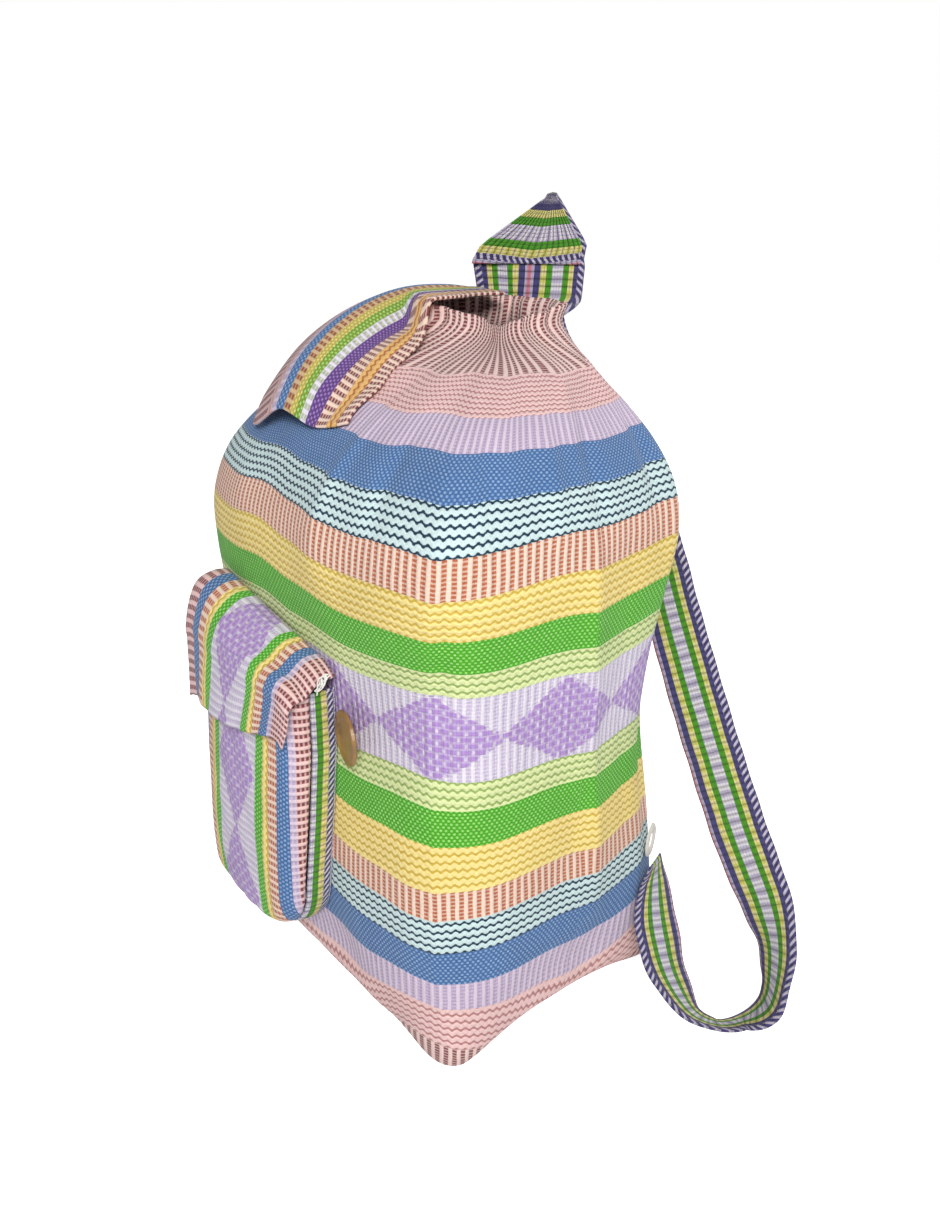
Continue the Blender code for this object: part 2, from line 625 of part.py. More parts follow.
def main():
    for obj in list(bpy.data.objects):
        bpy.data.objects.remove(obj, do_unlink=True)
    cloth = material("striped_cloth", (0.52, 0.55, 0.62), 0.9, 0.0)
    web = material("belt_webbing", (0.35, 0.38, 0.30), 0.85, 0.0)
    pocket = material("pocket_cloth", (0.50, 0.42, 0.60), 0.9, 0.0)
    pocket_top = material("pocket_flap_cloth", (0.55, 0.42, 0.55), 0.9, 0.0)
    flap = material("top_flap_cloth", (0.50, 0.34, 0.40), 0.9, 0.0)
    strap = material("strap_webbing", (0.32, 0.35, 0.38), 0.85, 0.0)
    loop = material("hang_loop_webbing", (0.34, 0.38, 0.32), 0.85, 0.0)
    ring = material("eyelet_ring", (0.72, 0.68, 0.60), 0.4, 0.0)
    wood = material("button_shell", (0.28, 0.12, 0.03), 0.4, 0.0)
    make_body(cloth)
    make_pocket(pocket, web, pocket_top)
    make_button(wood)
    make_strap("shoulder_strap_right", 1.0, strap)
    make_strap("shoulder_strap_left", -1.0, strap)
    make_eyelet("strap_eyelet_right", 1.0, ring)
    make_eyelet("strap_eyelet_left", -1.0, ring)
    make_loop(loop)
    make_top_flap(flap)


main()
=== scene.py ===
"""Finish of the striped woven backpack, laid out as an add-on and run as a script."""
import math

import bpy
import numpy as np
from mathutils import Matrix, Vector


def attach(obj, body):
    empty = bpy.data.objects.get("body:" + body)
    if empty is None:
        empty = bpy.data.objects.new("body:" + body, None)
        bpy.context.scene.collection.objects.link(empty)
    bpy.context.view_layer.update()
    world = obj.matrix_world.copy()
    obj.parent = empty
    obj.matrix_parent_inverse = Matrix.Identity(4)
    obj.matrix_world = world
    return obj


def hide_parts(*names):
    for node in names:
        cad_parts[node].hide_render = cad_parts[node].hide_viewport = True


bl_info = {
    "name": "Woven backpack finish",
    "version": (1, 0, 0),
    "blender": (4, 5, 0),
    "location": "3D View > Sidebar > Woven Backpack",
    "description": "Builds the striped cloth, webbing and stage of a woven backpack",
    "category": "Object",
}

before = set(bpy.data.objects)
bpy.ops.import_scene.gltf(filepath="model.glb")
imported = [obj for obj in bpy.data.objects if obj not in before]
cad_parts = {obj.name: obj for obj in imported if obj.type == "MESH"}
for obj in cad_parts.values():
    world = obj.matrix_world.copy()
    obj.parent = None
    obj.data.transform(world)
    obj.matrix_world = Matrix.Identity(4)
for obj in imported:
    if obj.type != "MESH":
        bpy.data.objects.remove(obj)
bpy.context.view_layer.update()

# Shape of the body, the same stations as the part's source:
# height, half x, half y, shift towards the neck, squareness, pinch, gather
STATIONS = np.array([
    (0.0000, 0.150, 0.106, 0.00, 5.2, 0.235, 0.000),
    (0.0030, 0.152, 0.108, 0.00, 5.2, 0.175, 0.000),
    (0.0100, 0.1535, 0.1095, 0.00, 5.0, 0.105, 0.000),
    (0.0250, 0.1545, 0.1105, 0.00, 4.6, 0.050, 0.000),
    (0.0500, 0.154, 0.110, 0.00, 4.2, 0.010, 0.000),
    (0.0900, 0.153, 0.109, 0.00, 4.0, 0.000, 0.000),
    (0.1400, 0.150, 0.105, 0.00, 4.0, 0.000, 0.000),
    (0.1900, 0.148, 0.102, 0.00, 4.0, 0.000, 0.000),
    (0.2400, 0.149, 0.103, 0.00, 4.0, 0.000, 0.000),
    (0.2800, 0.151, 0.107, 0.01, 4.0, 0.000, 0.000),
    (0.3150, 0.152, 0.109, 0.03, 3.9, 0.000, 0.000),
    (0.3450, 0.147, 0.104, 0.09, 3.6, 0.000, 0.002),
    (0.3680, 0.133, 0.093, 0.22, 3.2, 0.000, 0.008),
    (0.3860, 0.112, 0.078, 0.42, 2.8, 0.000, 0.018),
    (0.3980, 0.091, 0.064, 0.63, 2.5, 0.000, 0.032),
    (0.4080, 0.074, 0.053, 0.81, 2.3, 0.000, 0.044),
    (0.4170, 0.062, 0.045, 0.93, 2.1, 0.000, 0.052),
    (0.4270, 0.055, 0.039, 1.00, 2.0, 0.000, 0.055),
    (0.4370, 0.058, 0.042, 1.02, 2.0, 0.000, 0.050),
])
RIM_Z = 0.437
NECK_X = 0.006
NECK_Y = 0.050
GATHERS = 12
BACK_DENT = 0.12
FULL_HALF_X = 0.154
FULL_HALF_Y = 0.110
CORNER = math.atan2(FULL_HALF_Y, FULL_HALF_X)
MOUTH_SIDE = math.radians(-36.0)

# Pocket, webbing and flap sizes, as in the part's source
POCKET_X = -0.017
POCKET_WIDTH = 0.128
POCKET_BOTTOM_Z = 0.056
POCKET_TOP_Z = 0.232
POCKET_CORNER = 0.034
POCKET_CORNER_LEFT = 0.016
POCKET_GUSSET = 0.021
POCKET_EDGE = 0.010
POCKET_BULGE = 0.006
POCKET_CLOTH = 0.0020
POCKET_TILT = 0.013
POCKET_TAPER = 0.14
POCKET_FLAP_DROP = 0.042
POCKET_FLAP_SIDE = 0.004
WEB_WIDTH = 0.038
WEB_THICK = 0.0022
TOUCH = 0.0003
FLAP_WIDTH = 0.092
FLAP_CLOTH = 0.0026
LOOP_WIDTH = 0.078
LOOP_TOP_Z = 0.501
LOOP_THICK = 0.0030
LOOP_TURN = 42.0
LOOP_X = -0.018
LOOP_FOOT_Z = 0.420
GUSSET_BAND = 0.019
TOP_FLAP_SPREAD = 0.104
NECK_SHOWN = 0.42

# Kinds of band, told apart by number in the shader
PLAIN = 0.0
WAVE = 0.2
DASH = 0.4
RIB = 0.6
DIAMOND = 0.8
KIND_SLACK = 0.08

# Pitches of the woven figures
ROW_PITCH = 0.0024
SPECK_ROW = 0.0020
SPECK_STEP = 0.0032
BRICK_ROW = 0.0040
BRICK_STEP = 0.0082
BEAD_PITCH = 0.0046
WARP_PITCH = 0.0019

# Dyed cotton colours, linear
PINK = (0.84, 0.57, 0.55)
PINK_LINE = (0.46, 0.21, 0.20)
BLUSH = (0.84, 0.62, 0.57)
PEACH = (0.86, 0.64, 0.52)
DARK_RED = (0.23, 0.055, 0.060)
LAVENDER = (0.71, 0.59, 0.71)
LILAC_DARK = (0.38, 0.28, 0.50)
BLUE = (0.070, 0.165, 0.38)
BLUE_SPECK = (0.35, 0.50, 0.72)
PALE_BLUE = (0.60, 0.74, 0.74)
NAVY = (0.014, 0.042, 0.075)
ORANGE = (0.50, 0.135, 0.060)
YELLOW = (0.89, 0.71, 0.275)
YELLOW_LINE = (0.60, 0.41, 0.060)
GREEN = (0.078, 0.402, 0.021)
GREEN_SPECK = (0.432, 0.828, 0.240)
PALE_GREEN = (0.70, 0.77, 0.38)
GREEN_LINE = (0.29, 0.40, 0.12)
WHITE = (0.76, 0.71, 0.79)
PURPLE = (0.42, 0.25, 0.60)


class BagSizes(bpy.types.PropertyGroup):
    """Sizes of the weave and folds that a user would change."""

    rib_pitch: bpy.props.FloatProperty(
        name="Rib pitch", description="Distance between two upright ribs of the cloth",
        default=0.0052, min=0.002, max=0.03, unit="LENGTH")
    wave_pitch: bpy.props.FloatProperty(
        name="Wave pitch", description="Distance between two wavy lines", default=0.0049,
        min=0.002, max=0.03, unit="LENGTH")
    wave_height: bpy.props.FloatProperty(
        name="Wave height", description="Half height of a wavy line", default=0.0007,
        min=0.0, max=0.01, unit="LENGTH")
    diamond_pitch: bpy.props.FloatProperty(
        name="Diamond pitch", description="Distance between two diamonds along the band",
        default=0.086, min=0.02, max=0.3, unit="LENGTH")
    relief: bpy.props.FloatProperty(
        name="Weave relief", description="Height of the threads over the cloth", default=0.0011,
        min=0.0, max=0.005, unit="LENGTH")
    fold_depth: bpy.props.FloatProperty(
        name="Fold depth", description="Depth of the soft folds in the body", default=0.0036,
        min=0.0, max=0.01, unit="LENGTH")


class BagColours(bpy.types.PropertyGroup):
    """Colours outside the striped cloth."""

    # Painted shade: the inner face below the neck is given one dark colour for the dim inside of the bag.
    inside: bpy.props.FloatVectorProperty(
        name="Inside", description="Inner face of the cloth", subtype="COLOR", size=3,
        default=(0.20, 0.16, 0.17), min=0.0, max=1.0)
    shell: bpy.props.FloatVectorProperty(
        name="Button shell", description="Coconut shell of the pocket button", subtype="COLOR", size=3,
        default=(0.300, 0.155, 0.040), min=0.0, max=1.0)
    ring: bpy.props.FloatVectorProperty(
        name="Eyelet ring", description="Pale ring at the foot of each strap", subtype="COLOR", size=3,
        default=(0.66, 0.62, 0.56), min=0.0, max=1.0)
    thread: bpy.props.FloatVectorProperty(
        name="Sewing thread", description="White sewing thread", subtype="COLOR", size=3,
        default=(0.84, 0.82, 0.78), min=0.0, max=1.0)


# Shape helpers

def wrapped(angle):
    """Angle brought to within half a turn of zero."""
    return (angle + math.pi) % (2.0 * math.pi) - math.pi


def eased(share):
    """Share from 0 to 1 with a soft start and end."""
    return share * share * (3.0 - 2.0 * share)


def bell(value, middle, width):
    """Smooth bump of height 1 round a middle."""
    return math.exp(-(((value - middle) / width) ** 2))


def section_radius(c, s, half_x, half_y, square):
    """Distance to a squared oval from its middle, in one direction."""
    return (abs(c / half_x) ** square + abs(s / half_y) ** square) ** (-1.0 / square)


def run_along(points):
    """Length of a path up to each of its points."""
    steps = np.linalg.norm(np.diff(points, axis=0), axis=1)
    return np.concatenate([[0.0], np.cumsum(steps)])


def cloth_map(u, v):
    """Cloth map of a grid from its two directions, in metres."""
    return np.stack(np.broadcast_arrays(u, v), axis=2)


def station(z):
    """Smoothly read values of the body at one height."""
    z = min(max(z, 0.0), RIM_Z)
    heights = STATIONS[:, 0]
    i = int(min(max(np.searchsorted(heights, z) - 1, 0), len(heights) - 2))
    low = STATIONS[max(i - 1, 0)]
    a = STATIONS[i]
    b = STATIONS[i + 1]
    high = STATIONS[min(i + 2, len(heights) - 1)]
    span = b[0] - a[0]
    t = (z - a[0]) / span
    slope_a = (b - low) / max(b[0] - low[0], 1e-9) * span
    slope_b = (high - a) / max(high[0] - a[0], 1e-9) * span
    h = ((2 * t ** 3 - 3 * t ** 2 + 1) * a + (t ** 3 - 2 * t ** 2 + t) * slope_a
         + (-2 * t ** 3 + 3 * t ** 2) * b + (t ** 3 - t ** 2) * slope_b)
    return h[1:]


def straight_station(z):
    """Values read on straight lines between stations, as the solids are."""
    return [float(np.interp(z, STATIONS[:, 0], STATIONS[:, k])) for k in range(1, 7)]


def body_face(x, z, side):
    """Y of the body's front where side is -1, and of its back where side is 1."""
    half_x, half_y, shift, square, pinch, gather = straight_station(z)
    across = min(abs((x - NECK_X * shift) / half_x), 0.985)
    return NECK_Y * shift + side * half_y * (1.0 - across ** square) ** (1.0 / square)


def body_front(x, z):
    return body_face(x, z, -1.0)


def body_back(x, z):
    return body_face(x, z, 1.0)


def behind_body(x, z):
    """Least Y at which a strap clears the back cloth."""
    if z > RIM_Z + 0.002:
        z = RIM_Z
    half_x, half_y, shift, square, pinch, gather = straight_station(z)
    across = abs((x - NECK_X * shift) / (half_x * (1.0 + gather) + 0.001))
    if across >= 1.0:
        return -1.0
    depth = (half_y * (1.0 + gather) + 0.0010) * (1.0 - across ** square) ** (1.0 / square)
    return NECK_Y * shift + depth


def grid_normals(points, around=False):
    """Unit normals of a grid, closed on itself along its rows where around is set."""
    if around:
        du = np.roll(points, -1, axis=1) - np.roll(points, 1, axis=1)
    else:
        du = np.gradient(points, axis=1)
    dv = np.gradient(points, axis=0)
    normal = np.cross(du, dv)
    return normal / np.maximum(np.linalg.norm(normal, axis=2, keepdims=True), 1e-12)


def smooth_path(points, count):
    """Catmull-Rom path through points, evenly spread, with any columns carried along."""
    points = np.asarray(points, float)
    padded = np.vstack([2 * points[0] - points[1], points, 2 * points[-1] - points[-2]])
    fine = []
    for i in range(1, len(padded) - 2):
        p0, p1, p2, p3 = padded[i - 1:i + 3]
        for t in np.linspace(0.0, 1.0, 40, endpoint=False):
            fine.append(0.5 * (2 * p1 + (p2 - p0) * t + (2 * p0 - 5 * p1 + 4 * p2 - p3) * t * t
                               + (3 * p1 - p0 - 3 * p2 + p3) * t ** 3))
    fine.append(padded[-2])
    fine = np.array(fine)
    arc = run_along(fine[:, :3])
    even = np.linspace(0.0, arc[-1], count)
    return np.stack([np.interp(even, arc, fine[:, k]) for k in range(fine.shape[1])], axis=1)


def link(name, vertices, faces, uvs, materials, slots=None):
    """New object at the origin with its own cloth map in metres."""
    mesh = bpy.data.meshes.new(name)
    mesh.from_pydata([tuple(map(float, v)) for v in vertices], [], faces)
    layer = mesh.uv_layers.new(name="cloth")
    flat = np.array([uvs[k] for face in faces for k in face] if not isinstance(uvs, list) else
                    [uv for face_uv in uvs for uv in face_uv], dtype=float)
    layer.data.foreach_set("uv", flat.ravel())
    for mat in materials:
        mesh.materials.append(mat)
    if slots is not None:
        mesh.polygons.foreach_set("material_index", slots)
    mesh.polygons.foreach_set("use_smooth", [True] * len(mesh.polygons))
    mesh.update()
    obj = bpy.data.objects.new(name, mesh)
    bpy.context.scene.collection.objects.link(obj)
    return obj


def slab(name, points, thickness, uv, materials, normals=None, round_edge=0.0):
    """Closed cloth slab: a grid of points, the grid moved by thickness, and its edge."""
    points = np.asarray(points, float)
    rows, columns = points.shape[:2]
    if normals is None:
        normals = grid_normals(points)
    other = points + normals * thickness
    if round_edge > 0.0:
        middle = (points + other) / 2.0
        fade = np.ones((rows, columns))
        fade[0, :] = fade[-1, :] = 1.0 - round_edge
        fade[:, 0] = fade[:, -1] = 1.0 - round_edge
        points = middle + (points - middle) * fade[:, :, None]
        other = middle + (other - middle) * fade[:, :, None]
    half = rows * columns
    vertices = np.concatenate([points.reshape(-1, 3), other.reshape(-1, 3)])
    coords = np.concatenate([uv.reshape(-1, 2), uv.reshape(-1, 2)])
    faces = []
    for r in range(rows - 1):
        for c in range(columns - 1):
            a = r * columns + c
            faces.append((a, a + 1, a + columns + 1, a + columns))
            faces.append((half + a, half + a + columns, half + a + columns + 1, half + a + 1))
    for r in range(rows - 1):
        a = r * columns
        b = a + columns - 1
        faces.append((a, a + columns, half + a + columns, half + a))
        faces.append((b, half + b, half + b + columns, b + columns))
    for c in range(columns - 1):
        b = (rows - 1) * columns + c
        faces.append((c, half + c, half + c + 1, c + 1))
        faces.append((b, b + 1, half + b + 1, half + b))
    obj = link(name, vertices, faces, coords, materials)
    outward(obj)
    return obj


def outward(obj):
    """Turns a closed mesh so that its faces point out."""
    mesh = obj.data
    count = len(mesh.vertices)
    co = np.zeros(count * 3)
    mesh.vertices.foreach_get("co", co)
    co = co.reshape(-1, 3)
    volume = 0.0
    for polygon in mesh.polygons:
        v = polygon.vertices
        for k in range(1, len(v) - 1):
            volume += float(np.dot(co[v[0]], np.cross(co[v[k]], co[v[k + 1]])))
    if volume < 0.0:
        mesh.flip_normals()


# Shader helpers

class Nodes:
    """Short way to add and join shader nodes."""

    def __init__(self, tree):
        self.tree = tree

    def add(self, kind, **values):
        node = self.tree.nodes.new(kind)
        for key, value in values.items():
            setattr(node, key, value)
        return node

    def join(self, value, socket):
        if isinstance(value, (int, float)):
            socket.default_value = value
        elif isinstance(value, tuple):
            socket.default_value = value if len(socket.default_value) == len(value) else (*value, 1.0)
        else:
            self.tree.links.new(value, socket)

    def math(self, operation, a, b=0.0, c=0.0):
        node = self.add("ShaderNodeMath", operation=operation)
        for value, socket in zip((a, b, c), node.inputs):
            self.join(value, socket)
        return node.outputs[0]

    def times(self, a, b):
        return self.math("MULTIPLY", a, b)

    def plus(self, a, b):
        return self.math("ADD", a, b)

    def minus(self, a, b):
        return self.math("SUBTRACT", a, b)

    def power(self, a, b):
        return self.math("POWER", a, b)

    def scaled(self, a, factor, added):
        """a times factor, plus added."""
        return self.math("MULTIPLY_ADD", a, factor, added)

    def below(self, value, limit, soft):
        """1 where value is under limit, with a soft edge."""
        node = self.add("ShaderNodeMapRange", interpolation_type="SMOOTHSTEP")
        self.join(value, node.inputs[0])
        self.join(limit - soft, node.inputs[1])
        self.join(limit + soft, node.inputs[2])
        node.inputs[3].default_value = 1.0
        node.inputs[4].default_value = 0.0
        return node.outputs[0]

    def is_kind(self, kind, value):
        """1 where the band is of this kind."""
        return self.math("COMPARE", kind, value, KIND_SLACK)

    def shaded(self, colour, shade):
        """Colour darkened by one grey value."""
        grey = self.add("ShaderNodeCombineColor")
        for socket in grey.inputs:
            self.join(shade, socket)
        tint = self.add("ShaderNodeMix", data_type="RGBA", blend_type="MULTIPLY")
        tint.inputs[0].default_value = 1.0
        self.join(colour, tint.inputs[6])
        self.join(grey.outputs[0], tint.inputs[7])
        return tint.outputs[2]

    def mix(self, factor, a, b):
        node = self.add("ShaderNodeMix", data_type="RGBA")
        self.join(factor, node.inputs[0])
        self.join(a, node.inputs[6])
        self.join(b, node.inputs[7])
        return node.outputs[2]

    def noise(self, vector, scale, detail=2.0):
        node = self.add("ShaderNodeTexNoise")
        self.tree.links.new(vector, node.inputs["Vector"])
        node.inputs["Scale"].default_value = scale
        node.inputs["Detail"].default_value = detail
        return node.outputs[0]

    def triangle(self, value, pitch, shift=0.0):
        """0 at the middle of each period and 1 at its ends."""
        turn = self.math("MULTIPLY_ADD", value, 1.0 / pitch, shift)
        part = self.math("FRACT", turn)
        return self.math("MULTIPLY", self.math("ABSOLUTE", self.math("SUBTRACT", part, 0.5)), 2.0)


def new_group(name, inputs, outputs):
    """New shader group with its helper and its sockets."""
    group = bpy.data.node_groups.new(name, "ShaderNodeTree")
    for label, kind, value in inputs:
        socket = group.interface.new_socket(name=label, in_out="INPUT", socket_type=kind)
        socket.default_value = value
    for label, kind in outputs:
        group.interface.new_socket(name=label, in_out="OUTPUT", socket_type=kind)
    n = Nodes(group)
    source = n.add("NodeGroupInput")
    target = n.add("NodeGroupOutput")
    return group, n, source.outputs, target.inputs


def weave_group():
    """Patterned cotton: plain, waved, dashed, ribbed and diamond bands."""
    sizes = bpy.context.scene.bag_sizes
    group, n, given, out = new_group(
        "cotton stripes",
        [("Across", "NodeSocketFloat", 0.0), ("Along", "NodeSocketFloat", 0.0),
         ("Ground", "NodeSocketColor", (1, 1, 1, 1)), ("Figure", "NodeSocketColor", (0, 0, 0, 1)),
         ("Kind", "NodeSocketFloat", 0.0), ("Diamond Middle", "NodeSocketFloat", 0.0),
         ("Diamond Half", "NodeSocketFloat", 0.03), ("Diamond Shift", "NodeSocketFloat", 0.0),
         ("Diamond Pitch", "NodeSocketFloat", 0.086)],
        [("Color", "NodeSocketColor"), ("Height", "NodeSocketFloat")])
    across = given["Across"]
    along = given["Along"]
    kind = given["Kind"]
    spot = n.add("ShaderNodeCombineXYZ")
    n.join(across, spot.inputs[0])
    n.join(along, spot.inputs[1])
    wander = n.times(n.minus(n.noise(spot.outputs[0], 90.0), 0.5), 0.0011)
    along = n.plus(along, wander)
    across = n.plus(across, wander)
    pitch = sizes.rib_pitch
    rib = n.triangle(along, pitch)
    half_rib = n.triangle(along, pitch / 2.0)
    # Wavy lines
    swing = n.math("SINE", n.times(along, 2.0 * math.pi / pitch))
    swing = n.times(swing, sizes.wave_height)
    line = n.triangle(n.plus(across, swing), sizes.wave_pitch)
    broken = n.scaled(n.below(half_rib, 0.80, 0.2), 0.12, 0.23)
    wave = n.below(n.minus(line, broken), 0.0, 0.12)
    # Columns of short dashes between bare ribs
    row = n.triangle(across, ROW_PITCH)
    column = n.below(rib, 0.50, 0.10)
    dash = n.times(column, n.scaled(n.below(row, 0.60, 0.16), 0.62, 0.38))
    ribbed = n.times(column, n.scaled(n.below(row, 0.55, 0.2), 0.42, 0.26))
    # Specks of the plain weave, offset from row to row
    level = n.math("FLOOR", n.times(across, 1.0 / SPECK_ROW))
    offset = n.times(level, 0.5)
    speck_along = n.triangle(n.scaled(along, 1.0 / SPECK_STEP, offset), 1.0)
    speck_row = n.triangle(across, SPECK_ROW)
    speck = n.times(n.below(speck_along, 0.42, 0.18), n.below(speck_row, 0.66, 0.2))
    speck = n.times(speck, n.scaled(n.noise(spot.outputs[0], 160.0), 0.9, 0.25))
    # Brick floats inside the diamonds
    wide = n.times(n.math("ABSOLUTE", n.minus(n.math("FRACT", n.plus(
        n.math("DIVIDE", along, given["Diamond Pitch"]), given["Diamond Shift"])), 0.5)), 2.0)
    high = n.math("DIVIDE", n.math("ABSOLUTE", n.minus(across, given["Diamond Middle"])),
                  given["Diamond Half"])
    reach = n.plus(wide, high)
    level = n.math("FLOOR", n.times(across, 1.0 / BRICK_ROW))
    offset = n.times(level, 0.5)
    brick_along = n.triangle(n.scaled(along, 1.0 / BRICK_STEP, offset), 1.0)
    brick_row = n.triangle(across, BRICK_ROW)
    brick = n.times(n.below(brick_along, 0.72, 0.1), n.below(brick_row, 0.70, 0.16))
    inside = n.below(n.scaled(brick, -0.05, reach), 1.02, 0.04)
    glint = n.times(n.minus(1.0, n.below(brick_along, 0.80, 0.06)),
                   n.below(brick_row, 0.6, 0.1))
    filled = n.minus(n.scaled(brick, 0.34, 0.60), n.times(glint, 0.38))
    outside = n.times(n.minus(1.0, inside), n.times(ribbed, 0.62))
    diamond = n.scaled(inside, filled, outside)
    # The band's own kind picks the figure
    total = 0.0
    for value, mask in ((PLAIN, speck), (WAVE, wave), (DASH, dash), (RIB, ribbed), (DIAMOND, diamond)):
        chosen = n.is_kind(kind, value)
        total = n.scaled(chosen, mask, total)
    plain = n.is_kind(kind, PLAIN)
    waved = n.is_kind(kind, WAVE)
    worked = n.minus(n.minus(1.0, plain), waved)
    # Painted shade: the worked bands are darkened in the valleys between their upright ribs.
    edge = n.power(n.minus(1.0, n.math("ABSOLUTE", n.minus(rib, 0.5))), 8.0)
    shade = n.minus(1.0, n.times(n.times(edge, worked), 0.26))
    # Painted shade in the small gaps between the threads of the plain weave.
    between = n.minus(1.0, n.below(speck_row, 0.5, 0.3))
    pinhole_shade = n.times(n.power(speck_along, 3.0), between)
    shade = n.minus(shade, n.times(n.times(pinhole_shade, plain), 0.42))
    # Painted shade, fainter, in the rib valleys of the wavy bands.
    wave_valley_shade = n.times(n.power(half_rib, 6.0), waved)
    shade = n.minus(shade, n.times(wave_valley_shade, 0.10))
    fibre = n.noise(spot.outputs[0], 900.0, 3.0)
    dye = n.noise(spot.outputs[0], 24.0, 2.0)
    shade = n.times(shade, n.scaled(fibre, 0.44, 0.78))
    shade = n.times(shade, n.scaled(dye, 0.22, 0.89))
    colour = n.mix(total, given["Ground"], given["Figure"])
    n.join(n.shaded(colour, shade), out["Color"])
    raised = n.power(rib, 0.6)
    height = n.times(n.times(raised, worked), 0.85)
    height = n.scaled(n.times(n.minus(1.0, line), waved), -0.55, height)
    height = n.scaled(n.times(speck, plain), 0.5, height)
    floats = n.times(diamond, n.is_kind(kind, DIAMOND))
    height = n.scaled(floats, 0.5, height)
    height = n.scaled(row, -0.16, height)
    height = n.scaled(fibre, 0.25, height)
    n.join(height, out["Height"])
    return group


def webbing_group():
    """Warp-faced belt webbing: beads along each stripe, chequers and zigzag edges."""
    group, n, given, out = new_group(
        "belt webbing",
        [("Across", "NodeSocketFloat", 0.0), ("Along", "NodeSocketFloat", 0.0),
         ("Ground", "NodeSocketColor", (1, 1, 1, 1)), ("Figure", "NodeSocketColor", (0, 0, 0, 1)),
         ("Kind", "NodeSocketFloat", 0.0)],
        [("Color", "NodeSocketColor"), ("Height", "NodeSocketFloat")])
    across = given["Across"]
    along = given["Along"]
    kind = given["Kind"]
    spot = n.add("ShaderNodeCombineXYZ")
    n.join(across, spot.inputs[0])
    n.join(along, spot.inputs[1])
    wander = n.times(n.minus(n.noise(spot.outputs[0], 110.0), 0.5), 0.0009)
    along = n.plus(along, wander)
    bead = n.triangle(along, BEAD_PITCH)
    chequer = n.below(n.triangle(along, 2.0 * BEAD_PITCH), 0.5, 0.08)
    zigzag = n.below(n.triangle(n.scaled(across, 0.9, along), BEAD_PITCH), 0.44, 0.12)
    fine = n.triangle(across, WARP_PITCH)
    total = 0.0
    for value, mask in ((RIB, chequer), (WAVE, zigzag)):
        chosen = n.is_kind(kind, value)
        total = n.scaled(chosen, mask, total)
    # Painted shade in the gaps between the beads of the webbing.
    gap = n.power(bead, 3.0)
    fibre = n.noise(spot.outputs[0], 1000.0, 3.0)
    shade = n.minus(1.0, n.times(gap, 0.30))
    shade = n.times(shade, n.scaled(fibre, 0.5, 0.75))
    # Painted shade in the grooves between the warp threads.
    shade = n.minus(shade, n.times(n.power(fine, 4.0), 0.15))
    colour = n.mix(total, given["Ground"], given["Figure"])
    n.join(n.shaded(colour, shade), out["Color"])
    height = n.scaled(gap, -1.0, n.times(fibre, 0.2))
    height = n.minus(height, n.times(n.power(fine, 3.0), 0.3))
    n.join(height, out["Height"])
    return group


GROUPS = {}


def shared(name):
    """The one copy of a shader group, made when first asked for."""
    if name not in GROUPS:
        GROUPS[name] = weave_group() if name == "weave" else webbing_group()
    return GROUPS[name]


def ramp(n, value, stops):
    """Stepped ramp from (position, colour) stops."""
    node = n.add("ShaderNodeValToRGB")
    node.color_ramp.interpolation = "CONSTANT"
    elements = node.color_ramp.elements
    while len(elements) > 1:
        elements.remove(elements[-1])
    elements[0].position = 0.0
    elements[0].color = stops[0][1]
    for position, colour in stops[1:]:
        element = elements.new(min(max(position, 0.0), 1.0))
        element.color = colour
    n.join(value, node.inputs[0])
    return node.outputs[0]


def striped(name, bands, along_v, group="weave", diamond=None, relief=None, rough=0.88):
    """Cloth material. bands are (start, kind, ground, figure) across the stripes, in metres.

    along_v is True where the stripes run along V, so the bands are counted on U.
    """
    sizes = bpy.context.scene.bag_sizes
    mat = bpy.data.materials.new(name)
    mat.use_nodes = True
    n = Nodes(mat.node_tree)
    shader = mat.node_tree.nodes["Principled BSDF"]
    shader.inputs["Roughness"].default_value = rough
    shader.inputs["Specular IOR Level"].default_value = 0.18
    shader.inputs["Sheen Weight"].default_value = 0.12
    shader.inputs["Sheen Roughness"].default_value = 0.5
    uv = n.add("ShaderNodeUVMap", uv_map="cloth")
    split = n.add("ShaderNodeSeparateXYZ")
    n.join(uv.outputs[0], split.inputs[0])
    across, along = split.outputs[:2] if along_v else (split.outputs[1], split.outputs[0])
    start = bands[0][0]
    span = bands[-1][0] - start
    ragged = n.times(n.minus(n.noise(uv.outputs[0], 60.0), 0.5), 0.0007)
    share = n.math("DIVIDE", n.minus(n.plus(across, ragged), start), span)
    stops = [((b[0] - start) / span, b) for b in bands[:-1]]
    ground = ramp(n, share, [(p, (*b[2], 1.0)) for p, b in stops])
    figure = ramp(n, share, [(p, (*b[3], 1.0)) for p, b in stops])
    kind = ramp(n, share, [(p, (b[1], b[1], b[1], 1.0)) for p, b in stops])
    node = n.add("ShaderNodeGroup")
    node.node_tree = shared(group)
    n.join(across, node.inputs["Across"])
    n.join(along, node.inputs["Along"])
    n.join(ground, node.inputs["Ground"])
    n.join(figure, node.inputs["Figure"])
    n.join(kind, node.inputs["Kind"])
    if diamond:
        for key, value in diamond.items():
            node.inputs[key].default_value = value
    n.join(node.outputs["Color"], shader.inputs["Base Color"])
    bump = n.add("ShaderNodeBump")
    bump.inputs["Strength"].default_value = 1.0
    bump.inputs["Distance"].default_value = relief if relief else sizes.relief
    n.join(node.outputs["Height"], bump.inputs["Height"])
    n.join(bump.outputs[0], shader.inputs["Normal"])
    return mat


